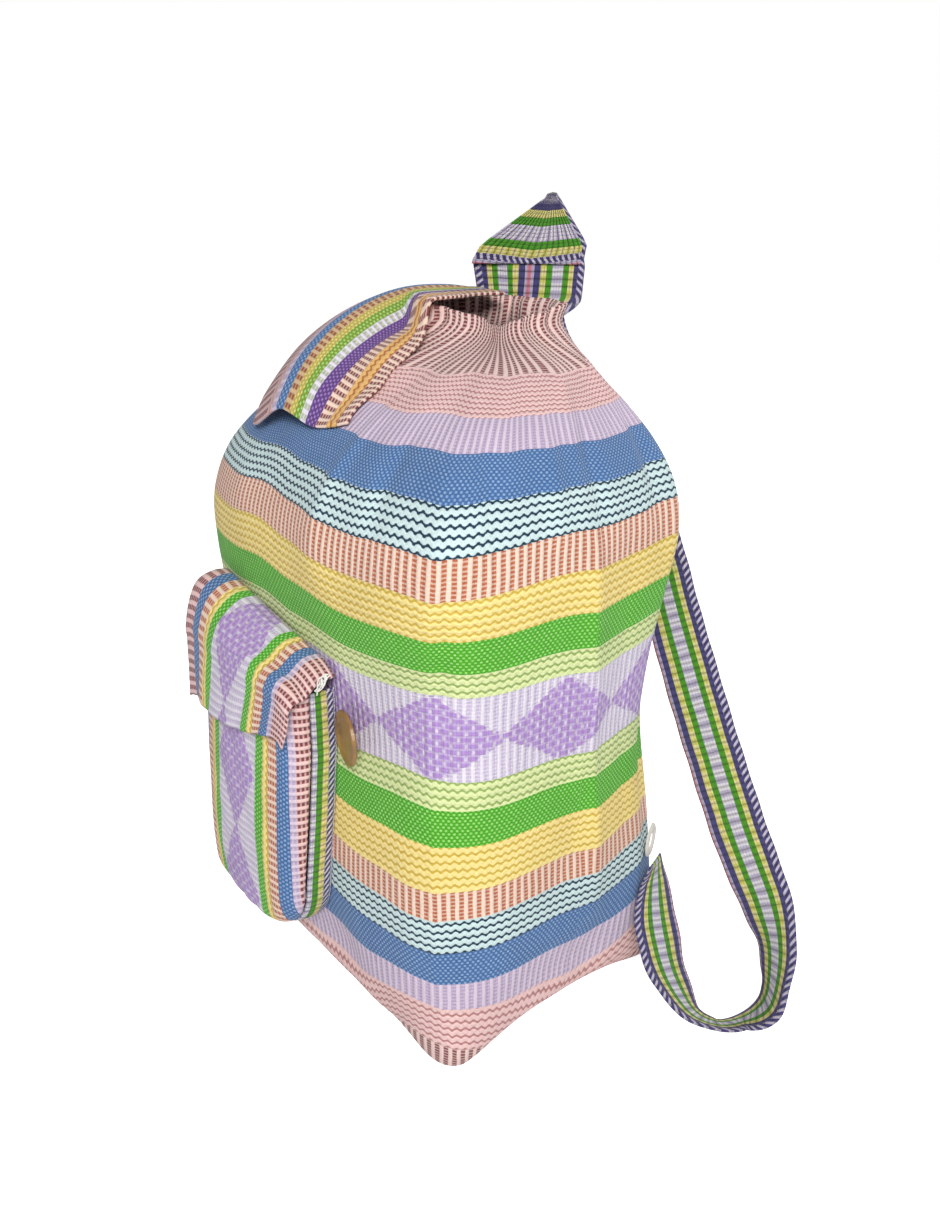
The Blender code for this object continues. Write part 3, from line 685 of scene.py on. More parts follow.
def simple(name, colour, roughness, metallic=0.0, grain=0.0, scale=200.0, coat=0.0):
    """Plain material with a little grain."""
    mat = bpy.data.materials.new(name)
    mat.use_nodes = True
    n = Nodes(mat.node_tree)
    shader = mat.node_tree.nodes["Principled BSDF"]
    shader.inputs["Metallic"].default_value = metallic
    shader.inputs["Coat Weight"].default_value = coat
    place = n.add("ShaderNodeTexCoord")
    noise = n.noise(place.outputs["Object"], scale, 4.0)
    dark = tuple(c * (1.0 - grain) for c in colour)
    light = tuple(min(1.0, c * (1.0 + grain)) for c in colour)
    n.join(n.mix(noise, (*dark, 1.0), (*light, 1.0)), shader.inputs["Base Color"])
    n.join(n.scaled(noise, 0.2, roughness - 0.1), shader.inputs["Roughness"])
    bump = n.add("ShaderNodeBump")
    bump.inputs["Distance"].default_value = 0.0004
    bump.inputs["Strength"].default_value = 0.6
    n.join(noise, bump.inputs["Height"])
    n.join(bump.outputs[0], shader.inputs["Normal"])
    return mat


def finish_piece(obj, slot, *nodes):
    """Attaches a piece to the root and hides the parts it stands for; slot is not used."""
    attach(obj, "root")
    if nodes:
        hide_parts(*nodes)


# Pieces

BAND_HEIGHTS = [
    (0.000, DASH, BLUSH, DARK_RED),
    (0.020, WAVE, PINK, PINK_LINE),
    (0.048, RIB, LAVENDER, LILAC_DARK),
    (0.067, PLAIN, BLUE, BLUE_SPECK),
    (0.089, WAVE, PALE_BLUE, NAVY),
    (0.110, DASH, PEACH, ORANGE),
    (0.128, WAVE, YELLOW, YELLOW_LINE),
    (0.157, PLAIN, GREEN, GREEN_SPECK),
    (0.179, WAVE, PALE_GREEN, GREEN_LINE),
    (0.197, DIAMOND, WHITE, PURPLE),
    (0.250, WAVE, PALE_GREEN, GREEN_LINE),
    (0.266, PLAIN, GREEN, GREEN_SPECK),
    (0.289, WAVE, YELLOW, YELLOW_LINE),
    (0.315, DASH, PEACH, ORANGE),
    (0.337, WAVE, PALE_BLUE, NAVY),
    (0.358, PLAIN, BLUE, BLUE_SPECK),
    (0.376, RIB, LAVENDER, LILAC_DARK),
    (0.389, WAVE, PINK, PINK_LINE),
    (0.405, DASH, BLUSH, DARK_RED),
    (0.437, DASH, BLUSH, DARK_RED),
]


def body_section(z, phi, turn, folds):
    """Point of the outer cloth with its creases, gathers and soft folds."""
    half_x, half_y, shift, square, pinch, gather = station(z)
    sizes = bpy.context.scene.bag_sizes
    c = math.cos(phi)
    s = math.sin(phi)
    square = max(square, 2.0)
    radius = section_radius(c, s, half_x, half_y, square)
    folded = math.atan2(abs(s), abs(c))
    away = 1.0 - bell(folded, CORNER, 0.24)
    radius *= 1.0 - max(pinch, 0.0) * away
    # Creased near corner
    ridge = wrapped(phi + CORNER - 0.10 * (z < 0.06) * (1.0 - z / 0.06))
    upper = bell(z, 0.325, 0.060)
    lower = bell(z, 0.110, 0.100)
    radius += 0.0085 * lower * math.exp(-abs(ridge) / 0.140)
    radius += 0.0130 * upper * math.exp(-abs(ridge - 0.01) / 0.140)
    # The left shoulder is slack, and its cloth falls in
    left = wrapped(phi + 2.24)
    radius -= 0.0050 * bell(z, 0.345, 0.040) * bell(left, 0.0, 0.55)
    radius += 0.0170 * bell(z, 0.404, 0.022) * bell(left, 0.0, 0.70)
    radius -= 0.0110 * max(0.0, 1.0 - z / 0.045) * bell(ridge, -0.22, 0.15)
    # Sharp fold down the middle of each side face
    lean = 0.04 + 0.05 * math.sin(z * 14.0)
    off = wrapped(phi - lean)
    span = math.exp(-(((z - 0.22) / 0.14) ** 4))
    radius += 0.0075 * span * (math.exp(-abs(off) / 0.11) - 0.3 * math.exp(-abs(off - 0.20) / 0.12))
    # Gathers at the neck
    gather = max(gather, 0.0)
    wave = math.cos(2.0 * math.pi * GATHERS * turn + 0.6 + 0.7 * math.sin(4.0 * math.pi * turn))
    fine = math.cos(2.0 * math.pi * 29 * turn + 1.3)
    radius *= 1.0 + gather * (1.25 * (0.5 * wave + 0.5 * wave * abs(wave)) + 0.34 * fine)
    # The near lip is drawn in over the mouth
    closing = min(1.0, max(0.0, (z - 0.400) / 0.035))
    closing = eased(closing)
    facing = max(0.0, math.cos(phi - MOUTH_SIDE) + 0.04) / 1.04
    radius *= 1.0 - 0.66 * closing * facing ** 0.8
    dip = wrapped(phi - MOUTH_SIDE)
    radius *= 1.0 - 0.26 * closing * bell(dip, 0.0, 0.30)
    sunk = 0.0080 * closing * facing + 0.0050 * closing * bell(dip, 0.0, 0.45)
    # Soft folds and dents of the cloth
    soft = 0.0
    for height, angle, size_z, size_a, depth, slope in folds:
        da = wrapped(phi - angle) - slope * (z - height)
        soft += depth * math.exp(-((z - height) / size_z) ** 2 - (da / size_a) ** 2)
    edge = min(1.0, z / 0.03)
    radius += sizes.fold_depth * soft * edge
    x = NECK_X * shift + radius * c
    y = radius * s
    if y > 0.0:
        y *= 1.0 - BACK_DENT * bell(z, 0.190, 0.062)
    # Sag of the bands between the corners
    sink = 0.0
    if z < 0.39:
        sink = 0.0028 * math.cos(2.0 * (folded - CORNER)) * math.sin(math.pi * z / 0.39)
        sink += 0.0016 * math.sin(3.0 * phi + 1.0) * math.sin(math.pi * z / 0.39)
    return (x, y + NECK_Y * shift, max(0.0, z - sunk + sink * min(1.0, z / 0.05)))


def build_body():
    """Striped body: outer cloth, rolled rim, inner face and flat base."""
    columns = 336
    rows = 132
    phi = np.linspace(0.0, 2.0 * math.pi, 2881)
    radius = section_radius(np.cos(phi), np.sin(phi), FULL_HALF_X, FULL_HALF_Y, 4)
    arc = run_along(np.stack([radius * np.cos(phi), radius * np.sin(phi)], axis=1))
    around = arc[-1]
    even = np.linspace(0.0, around, columns + 1)[:-1]
    angles = np.interp(even, arc, phi)
    # Levels spread by length along the corner, with more at the base
    fine = np.linspace(0.0, RIM_Z, 1200)
    corner = []
    for z in fine:
        half_x, half_y, shift, square, pinch, gather = station(z)
        c = math.cos(CORNER)
        s = -math.sin(CORNER)
        r = section_radius(c, s, half_x, half_y, square)
        corner.append((NECK_X * shift + r * c, NECK_Y * shift + r * s, z))
    corner = np.array(corner)
    up = run_along(corner)
    length = up[-1]
    levels = np.interp(np.linspace(0.0, length, rows), up, fine)
    levels = np.sort(np.concatenate([levels, [0.0012, 0.0024, 0.0050]]))
    rows = len(levels)
    rng = np.random.default_rng(7)
    folds = []
    for _ in range(46):
        folds.append((rng.uniform(0.03, 0.37), rng.uniform(0.0, 2.0 * math.pi), rng.uniform(0.02, 0.07),
                      rng.uniform(0.06, 0.22), rng.uniform(-1.0, 0.7), rng.uniform(-2.5, 2.5)))
    # Two long creases of the near side and a sag above the base
    near = 2.0 * math.pi - CORNER
    folds.append((0.285, near + 0.03, 0.060, 0.035, -1.1, 0.0))
    folds.append((0.240, CORNER - 0.10, 0.120, 0.045, -1.7, 0.4))
    folds.append((0.330, CORNER - 0.16, 0.050, 0.050, 1.2, 0.4))
    folds.append((0.120, near - 0.10, 0.050, 0.090, 1.2, 0.0))
    folds.append((0.045, near + 0.55, 0.022, 0.300, -1.6, 0.0))
    folds.append((0.040, near - 0.60, 0.022, 0.300, -1.6, 0.0))
    # Pulls running down from the gathered neck
    pulls = ((-0.22, -1.6, 0.9), (0.16, -1.5, -1.2), (0.42, 1.3, -1.0),
             (0.62, -1.5, -0.4), (0.98, -1.4, 0.6), (-0.55, 1.2, 1.4))
    for beside, depth, slope in pulls:
        folds.append((0.368, near + beside, 0.030, 0.050, depth, slope))
    outer = np.array([[body_section(z, a, k / columns, folds) for k, a in enumerate(angles)]
                      for z in levels])
    normals = grid_normals(outer, True)
    thick = 0.0022 + 0.0006 * np.exp(-((levels - RIM_Z + 0.003) / 0.004) ** 2)
    inner = outer - normals * thick[:, None, None]
    inner[:4, :, 2] = np.maximum(inner[:4, :, 2], 0.0024)
    inner[-1, :, 2] = outer[-1, :, 2] - 0.0002
    half = rows * columns
    vertices = list(map(tuple, outer.reshape(-1, 3))) + list(map(tuple, inner.reshape(-1, 3)))
    lip = (outer[-1] + inner[-1]) / 2.0
    lip[:, 2] += 0.0009
    vertices += list(map(tuple, lip))
    vertices.append((0.0, 0.0, 0.0))
    vertices.append((0.0, 0.0, 0.0024))
    v_of = np.interp(levels, fine, up)
    folded = np.arctan2(np.abs(np.sin(angles)), np.abs(np.cos(angles)))
    away = 1.0 - np.exp(-(((folded - CORNER) / 0.30) ** 2))
    tuck = np.clip(1.0 - levels / 0.085, 0.0, 1.0) ** 1.6
    wander = 0.0013 * np.sin(5.0 * angles + 0.8) + 0.0009 * np.sin(11.0 * angles)
    cloth_v = v_of[:, None] + 0.036 * tuck[:, None] * away[None, :] + wander[None, :]
    # The bands dip to a point on the near crease
    crease = np.abs(wrapped(angles - near - 0.01))
    high = np.exp(-(((levels - 0.320) / 0.055) ** 2))
    cloth_v += 0.0075 * high[:, None] * np.exp(-crease / 0.42)[None, :]
    cloth_v = np.concatenate([cloth_v, cloth_v[:, :1]], axis=1)
    faces = []
    uvs = []
    slots = []

    def add(corners, coords, slot):
        faces.append(corners)
        uvs.append(coords)
        slots.append(slot)

    step = around / columns
    neck_v = float(np.interp(0.405, fine, up))
    for r in range(rows - 1):
        for c in range(columns):
            d = (c + 1) % columns
            # The gathered neck hides part of its cloth in the pleats
            run = step * (NECK_SHOWN if cloth_v[r, c] + 0.0015 > neck_v else 1.0)
            coords = [(c * run, cloth_v[r, c]), ((c + 1) * run, cloth_v[r, c + 1]),
                      ((c + 1) * run, cloth_v[r + 1, c + 1]), (c * run, cloth_v[r + 1, c])]
            add((r * columns + c, r * columns + d, (r + 1) * columns + d, (r + 1) * columns + c), coords, 0)
            back = [coords[0], coords[3], coords[2], coords[1]]
            add((half + r * columns + c, half + (r + 1) * columns + c,
                 half + (r + 1) * columns + d, half + r * columns + d), back, 0 if levels[r] > 0.400 else 1)
    top = (rows - 1) * columns
    for c in range(columns):
        d = (c + 1) % columns
        u0 = c * step * NECK_SHOWN
        u1 = (c + 1) * step * NECK_SHOWN
        hem = v_of[-1]
        add((top + c, top + d, 2 * half + d, 2 * half + c),
            [(u0, hem), (u1, hem), (u1, hem - 0.001), (u0, hem - 0.001)], 0)
        add((2 * half + c, 2 * half + d, half + top + d, half + top + c),
            [(u0, hem), (u1, hem), (u1, hem - 0.001), (u0, hem - 0.001)], 0)
        middle = 2 * half + columns
        add((middle, d, c), [(u0, 0.0), (u1, 0.004), (u0, 0.004)], 0)
        add((middle + 1, half + c, half + d), [(u0, 0.0), (u0, 0.004), (u1, 0.004)], 1)
    bands = []
    for z, kind, ground, figure in BAND_HEIGHTS:
        bands.append((float(np.interp(z, fine, up)), kind, ground, figure))
    middle = float(np.interp(0.2235, fine, up))
    half_band = float(np.interp(0.250, fine, up) - np.interp(0.197, fine, up)) / 2.0
    pitch = around / round(around / bpy.context.scene.bag_sizes.diamond_pitch)
    at_corner = float(np.interp(near, phi, arc))
    cloth = striped("striped cotton", bands, False, diamond={
        "Diamond Middle": middle, "Diamond Half": half_band, "Diamond Pitch": pitch,
        "Diamond Shift": 0.5 - (at_corner / pitch) % 1.0})
    colours = bpy.context.scene.bag_colours
    # Painted shade: the inner face below the neck is one dark colour for the dim inside.
    painted_inside_shade = simple("cloth inside", tuple(colours.inside), 0.95, grain=0.5, scale=700.0)
    obj = link("backpack_body", vertices, faces, uvs, [cloth, painted_inside_shade], slots)
    outward(obj)
    finish_piece(obj, "striped_cloth", "bag_body")


def webbing_bands(width, folded=False):
    """Colours across the belt webbing, from one edge to the other."""
    navy = (0.070, 0.062, 0.185)
    lime = (0.60, 0.56, 0.15)
    leaf = (0.075, 0.29, 0.022)
    mauve = (0.47, 0.42, 0.55)
    rose = (0.56, 0.20, 0.26)
    pale = (0.70, 0.66, 0.72)
    full = [
        (0.000, PLAIN, rose, rose), (0.035, PLAIN, mauve, mauve), (0.075, PLAIN, navy, navy),
        (0.185, RIB, lime, (0.72, 0.64, 0.28)), (0.290, PLAIN, leaf, leaf), (0.395, RIB, mauve, pale),
        (0.600, PLAIN, leaf, leaf), (0.705, RIB, lime, (0.72, 0.64, 0.28)), (0.800, PLAIN, navy, navy),
        (0.880, WAVE, navy, (0.56, 0.50, 0.60)), (1.000, PLAIN, navy, navy),
    ]
    if folded:
        full = [
            (0.000, PLAIN, pale, pale), (0.08, WAVE, navy, pale), (0.38, RIB, lime, (0.80, 0.66, 0.30)),
            (0.62, PLAIN, leaf, leaf), (0.84, RIB, mauve, pale), (1.0, PLAIN, mauve, mauve),
        ]
    return [(share * width, kind, ground, figure) for share, kind, ground, figure in full]


def strap_rest_y(x, z):
    """Y at which webbing rests on the gathered neck."""
    across, depth, shift, square, pinch, gather = straight_station(z)
    return body_back(x, z) + depth * gather * 1.05 + 0.0022


def strap_path(side, count):
    """Points and width directions of a strap, from neck to ring."""
    back = []
    for x, z in ((0.0195, 0.430), (0.022, 0.421), (0.030, 0.402), (0.044, 0.372)):
        back.append((x, strap_rest_y(x, z), z, 1.0, 0.0, 0.0))
    loop = [
        (0.064, body_back(0.064, 0.335) + 0.004, 0.335, 0.97, 0.24, 0.0),
        (0.090, 0.1160, 0.2920, 0.96, 0.28, 0.0),
        (0.117, 0.1145, 0.2390, 0.96, 0.29, 0.0),
        (0.154, 0.1080, 0.1800, 0.95, 0.30, 0.0),
        (0.190, 0.1040, 0.1230, 0.95, 0.30, 0.0),
        (0.218, 0.1005, 0.0860, 0.92, 0.10, 0.0),
        (0.232, 0.0960, 0.0640, 0.90, -0.25, 0.0),
        (0.239, 0.0895, 0.0420, 0.85, -0.50, 0.15),
        (0.2395, 0.0835, 0.0240, 0.80, -0.60, 0.40),
        (0.2314, 0.0737, 0.0125, 0.74, -0.62, 0.62),
        (0.2224, 0.0593, 0.0112, 0.70, -0.68, 0.62),
        (0.2070, 0.0525, 0.0140, 0.50, -0.86, 0.48),
        (0.1860, 0.0560, 0.0240, 0.22, -0.97, 0.20),
        (0.1700, 0.0620, 0.0405, 0.05, -1.00, 0.05),
        (0.1590, 0.0680, 0.0570, 0.05, -1.00, 0.0),
        (0.1520, 0.0735, 0.0740, 0.22, -0.97, 0.0),
        (0.1500, 0.0762, 0.0885, 0.45, -0.89, 0.0),
    ]
    rows = smooth_path(back + loop, count)
    rows[:, 0] *= side
    rows[:, 3] *= side
    high = np.clip((rows[:, 2] - 0.300) / 0.120, 0.0, 1.0)
    rows[:, 0] += LOOP_X * eased(high)
    return rows


def build_strap(name, side, node):
    """Shoulder strap of belt webbing."""
    rows = strap_path(side, 281)
    centre = rows[:, :3]
    tangent = np.gradient(centre, axis=0)
    tangent /= np.linalg.norm(tangent, axis=1, keepdims=True)
    width = rows[:, 3:6]
    width = width - tangent * np.sum(width * tangent, axis=1, keepdims=True)
    width /= np.linalg.norm(width, axis=1, keepdims=True)
    share = np.linspace(0.0, 1.0, len(centre))
    taper = np.interp(share, [0.0, 0.93, 0.975, 1.0], [1.0, 1.0, 0.88, 0.66])[:, None]
    across = np.linspace(-0.5, 0.5, 15)
    grid = np.stack([centre + width * taper * WEB_WIDTH * k for k in across], axis=1)
    for r in range(grid.shape[0]):
        for c in range(grid.shape[1]):
            grid[r, c, 1] = max(grid[r, c, 1], behind_body(grid[r, c, 0], grid[r, c, 2]))
    normal = -np.cross(tangent, width) * side
    normals = np.repeat(normal[:, None, :], len(across), axis=1)
    # Slight cupping and small waves along the edges
    arc = run_along(centre)
    ripple = 0.0005 * np.sin(arc * 2.0 * math.pi / 0.031)[:, None] * (across[None, :] * 2.0) ** 2
    grid = grid + normals * ripple[:, :, None]
    low = np.min(grid[:, :, 2] + np.minimum(normals[:, :, 2], 0.0) * WEB_THICK)
    lift = np.maximum(0.0, 0.0006 - low) * np.exp(-((centre[:, 2]) / 0.05) ** 2)
    grid[:, :, 2] += lift[:, None]
    uv = cloth_map((across[None, :] + 0.5) * WEB_WIDTH, arc[:, None])
    mat = striped(name + " webbing", webbing_bands(WEB_WIDTH), True, group="webbing", relief=0.0010)
    obj = slab(name, grid, WEB_THICK, uv, [mat], normals, round_edge=0.45)
    finish_piece(obj, "strap_webbing", node)


def build_loop():
    """Hang loop: two legs side by side and a mitred front layer with level stripes."""
    rise_z = LOOP_TOP_Z - LOOP_FOOT_Z
    levels = np.linspace(0.0, 1.0, 61)
    across = np.linspace(-1.0, 1.0, 33)

    def sheet(low, front):
        rows = []
        for h in levels:
            h = low + (1.0 - low) * h
            z = LOOP_FOOT_Z + rise_z * h
            wide = np.interp(h, [0.0, 0.20, 0.45, 0.60, 0.66, 1.0], [0.86, 0.97, 1.0, 0.93, 0.82, 0.05])
            rise = min(1.0, max(0.0, (h - 0.08) / 0.16))
            turn = math.radians(LOOP_TURN) * eased(rise)
            base_y = strap_rest_y(0.0215, min(z, 0.430)) + WEB_THICK + TOUCH + 0.0009
            centre_x = LOOP_X + float(np.interp(h, [0.0, 0.5, 1.0], [0.0, -0.002, 0.018]))
            lean = 0.006 * h * h
            bow = 0.004 * math.sin(math.pi * h)
            half = LOOP_WIDTH / 2.0 * wide * (0.94 if front else 1.0)
            row = []
            for u in across:
                groove = 0.0 if front else -0.0006 * bell(u, 0.0, 0.05)
                row.append((centre_x + half * u * math.cos(turn),
                            base_y + lean + half * u * math.sin(turn) + bow * (1.0 - u * u) + groove, z))
            rows.append(row)
        return np.array(rows)

    grid = sheet(0.0, False)
    for r in range(grid.shape[0]):
        for c in range(grid.shape[1]):
            x, y, z = grid[r, c]
            grid[r, c, 1] = max(y, behind_body(x, z) + WEB_THICK + 0.0021)
    normals = grid_normals(grid)
    if normals[30, 16, 1] < 0.0:
        normals = -normals
    uv = cloth_map(np.abs(across)[None, :] * WEB_WIDTH, levels[:, None] * rise_z)
    bands = webbing_bands(WEB_WIDTH)
    mat = striped("loop legs webbing", bands, True, group="webbing", relief=0.0010)
    legs = slab("hang_loop_legs", grid, LOOP_THICK * 0.75, uv, [mat], normals, round_edge=0.4)
    finish_piece(legs, "hang_loop_webbing", "hang_loop")
    # Folded front layer over the upper half
    top = sheet(0.46, True)
    normals = grid_normals(top)
    if normals[30, 16, 1] < 0.0:
        normals = -normals
    sag = 0.10 * (1.0 - np.abs(across))
    uv = cloth_map((levels[:, None] + sag[None, :] * (1.0 - levels[:, None])) * WEB_WIDTH,
                   across[None, :] * LOOP_WIDTH / 2.0)
    top = top - normals * (WEB_THICK + 0.0002)
    edge = bands[2]
    bands[2] = (edge[0], WAVE, edge[2], (0.56, 0.50, 0.60))
    mat = striped("loop fold webbing", bands, True, group="webbing", relief=0.0010)
    fold = slab("hang_loop_fold", top, WEB_THICK, uv, [mat], normals, round_edge=0.5)
    finish_piece(fold, "hang_loop_webbing")


def lift_clear(x, y, z, gap):
    """Point raised until it clears the body by a gap."""
    for _ in range(200):
        if z >= RIM_Z + gap:
            break
        half_x, half_y, shift, square, pinch, gather = straight_station(z)
        half_x = half_x * (1.0 + gather) + gap
        half_y = half_y * (1.0 + gather) + gap
        inside = (abs((x - NECK_X * shift) / half_x) ** square
                  + abs((y - NECK_Y * shift) / half_y) ** square)
        if inside >= 1.0:
            break
        z += 0.0005
    return np.array([x, y, z])


def build_top_flap():
    """Cloth tongue beside the mouth, lying over the front shoulder."""
    path = [
        (-0.036, 0.0740, 0.4395, 0.70), (-0.040, 0.0550, 0.4440, 0.76), (-0.044, 0.0240, 0.4440, 0.86),
        (-0.042, -0.0080, 0.4370, 0.94), (-0.035, -0.0400, 0.4240, 0.98), (-0.026, -0.0700, 0.4040, 1.00),
        (-0.018, -0.0930, 0.3800, 1.00), (-0.014, -0.1030, 0.3640, 0.97),
    ]
    line = smooth_path(path, 132)[:111]
    tangent = np.gradient(line[:, :3], axis=0)
    tangent /= np.linalg.norm(tangent, axis=1, keepdims=True)
    across_share = np.linspace(-1.0, 1.0, 61)
    rows = []
    for k, (p, t) in enumerate(zip(line, tangent)):
        s = k / (len(line) - 1)
        across = np.array([1.0, 0.0, 0.0]) - t * t[0]
        across /= np.linalg.norm(across)
        normal = np.cross(across, t)
        if normal[2] < 0.0:
            normal = -normal
        row = []
        strength = math.sin(math.pi * min(1.0, 0.15 + s * 0.95)) ** 0.7 if s < 0.94 else 0.25
        for u in across_share:
            fold = 0.0075 * bell(u, 0.86, 0.22) - 0.0045 * bell(u, 0.40, 0.20)
            fold += 0.0011 * math.sin(9.0 * u + 3.0 * s)
            fold *= strength
            crown = -0.009 * u * u
            ragged = 0.002 * math.sin(23.0 * s + 2.0) * abs(u) ** 6
            row.append(p[:3] + across * (FLAP_WIDTH / 2.0 * p[3] * u + ragged) + normal * (fold + crown))
        rows.append(row)
    grid = np.array(rows)
    for r in range(grid.shape[0]):
        for c in range(grid.shape[1]):
            x, y, z = grid[r, c]
            drop = 0.022 * min(1.0, max(0.0, across_share[c] + 0.15)) * min(1.0, r / 14.0)
            drop += 0.010 * max(0.0, -across_share[c] - 0.25) * min(1.0, r / 14.0)
            drop += 0.007 * max(0.0, (r - 86.0) / 24.0) ** 2
            grid[r, c] = lift_clear(x, y, z - drop, 0.0030)
    for _ in range(14):
        soft = grid.copy()
        soft[1:-1] = (grid[:-2] + 2.0 * grid[1:-1] + grid[2:]) / 4.0
        soft[:, 1:-1] = (soft[:, :-2] + 2.0 * soft[:, 1:-1] + soft[:, 2:]) / 4.0
        soft[:, :, 2] = np.maximum(soft[:, :, 2], grid[:, :, 2] - 0.0002)
        grid = soft
    normals = grid_normals(grid)
    if normals[55, 30, 2] < 0.0:
        normals = -normals
    arc = run_along(line[:, :3])
    uv = cloth_map((across_share[None, :] + 1.0) / 2.0 * TOP_FLAP_SPREAD, arc[:, None])
    dusty = (0.56, 0.33, 0.32)
    order = [
        (0.000, DASH, (0.62, 0.42, 0.41), DARK_RED), (0.026, WAVE, dusty, (0.70, 0.48, 0.47)),
        (0.033, RIB, LAVENDER, LILAC_DARK), (0.039, PLAIN, BLUE, BLUE_SPECK),
        (0.047, DASH, (0.62, 0.42, 0.24), (0.30, 0.09, 0.04)), (0.053, PLAIN, (0.52, 0.44, 0.10), YELLOW),
        (0.057, PLAIN, (0.22, 0.34, 0.04), GREEN_SPECK), (0.062, RIB, WHITE, GREEN_LINE),
        (0.067, PLAIN, (0.13, 0.06, 0.24), PURPLE), (0.077, DASH, PEACH, DARK_RED),
        (0.087, WAVE, (0.78, 0.47, 0.17), (0.46, 0.17, 0.05)), (0.096, DASH, PEACH, DARK_RED),
        (0.106, DASH, PEACH, DARK_RED),
    ]
    mat = striped("top flap cotton", order, True)
    obj = slab("top_flap_cloth", grid, FLAP_CLOTH, uv, [mat], normals, round_edge=0.5)
    finish_piece(obj, "top_flap_cloth", "top_flap")


def pocket_half(z):
    """Half width of the pocket at one height."""
    v = min(1.0, max(0.0, (z - POCKET_BOTTOM_Z) / (POCKET_TOP_Z - POCKET_BOTTOM_Z)))
    return POCKET_WIDTH / 2.0 * (1.0 - POCKET_TAPER * (1.0 - v))


def pocket_outline(count):
    """Evenly spread points along the sides and bottom of the pocket."""
    half = POCKET_WIDTH / 2.0
    r = POCKET_CORNER_LEFT
    pts = [(-half, POCKET_TOP_Z)]
    for angle in np.linspace(180.0, 270.0, 17):
        a = math.radians(angle)
        pts.append((-half + r + r * math.cos(a), POCKET_BOTTOM_Z + r + r * math.sin(a)))
    r = POCKET_CORNER
    for angle in np.linspace(270.0, 360.0, 17):
        a = math.radians(angle)
        pts.append((half - r + r * math.cos(a), POCKET_BOTTOM_Z + r + r * math.sin(a)))
    pts.append((half, POCKET_TOP_Z))
    pts = np.array([(x * pocket_half(z) / half, z) for x, z in pts])
    arc = run_along(pts)
    even = np.linspace(0.0, arc[-1], count)
    return np.stack([np.interp(even, arc, pts[:, 0]) + POCKET_X, np.interp(even, arc, pts[:, 1])], axis=1)


def pocket_reach(z, corner, inset):
    """Half width within a rounded lower corner."""
    half = pocket_half(z) - inset
    r = corner - inset
    drop = POCKET_BOTTOM_Z + inset + r - z
    if drop > 0.0:
        half -= r - math.sqrt(max(r * r - drop * drop, 0.0))
    return half


def pocket_inside(x, z):
    """Distance in from the nearest edge of the pocket."""
    half = pocket_half(z)
    side = half - abs(x - POCKET_X)
    low = z - POCKET_BOTTOM_Z
    r = POCKET_CORNER if x > POCKET_X else POCKET_CORNER_LEFT
    if side < r and low < r:
        return r - math.hypot(r - side, r - low)
    return min(side, low)


def pocket_back_y(x, z):
    """Y of the back of the front cloth."""
    base = body_front(POCKET_X, max(z, 0.070)) - POCKET_GUSSET - POCKET_EDGE
    u = (x - POCKET_X) / (POCKET_WIDTH / 2.0)
    v = (z - POCKET_BOTTOM_Z) / (POCKET_TOP_Z - POCKET_BOTTOM_Z)
    bulge = POCKET_BULGE * max(0.0, 1.0 - u * u) * max(0.0, 1.0 - (2.0 * v - 1.0) ** 2)
    depth = min(1.0, max(0.0, 1.0 - (pocket_inside(x, z) - 0.002) / POCKET_EDGE))
    turned = POCKET_EDGE * (1.0 - math.sqrt(max(0.0, 1.0 - depth * depth)))
    return base - bulge + turned + 0.004 * u * u


POCKET_STRIPES = [
    (-0.010, DASH, PINK, DARK_RED), (0.014, PLAIN, BLUE, BLUE_SPECK), (0.025, DASH, PEACH, ORANGE),
    (0.034, WAVE, YELLOW, YELLOW_LINE), (0.040, PLAIN, GREEN, GREEN_SPECK), (0.048, DIAMOND, WHITE, PURPLE),
    (0.098, PLAIN, GREEN, GREEN_SPECK), (0.105, WAVE, YELLOW, YELLOW_LINE), (0.111, DASH, PEACH, ORANGE),
    (0.119, PLAIN, BLUE, BLUE_SPECK), (0.1275, RIB, LAVENDER, LILAC_DARK), (0.1315, DASH, PINK, DARK_RED),
    (0.160, DASH, PINK, DARK_RED),
]
POCKET_SPREAD = 0.146


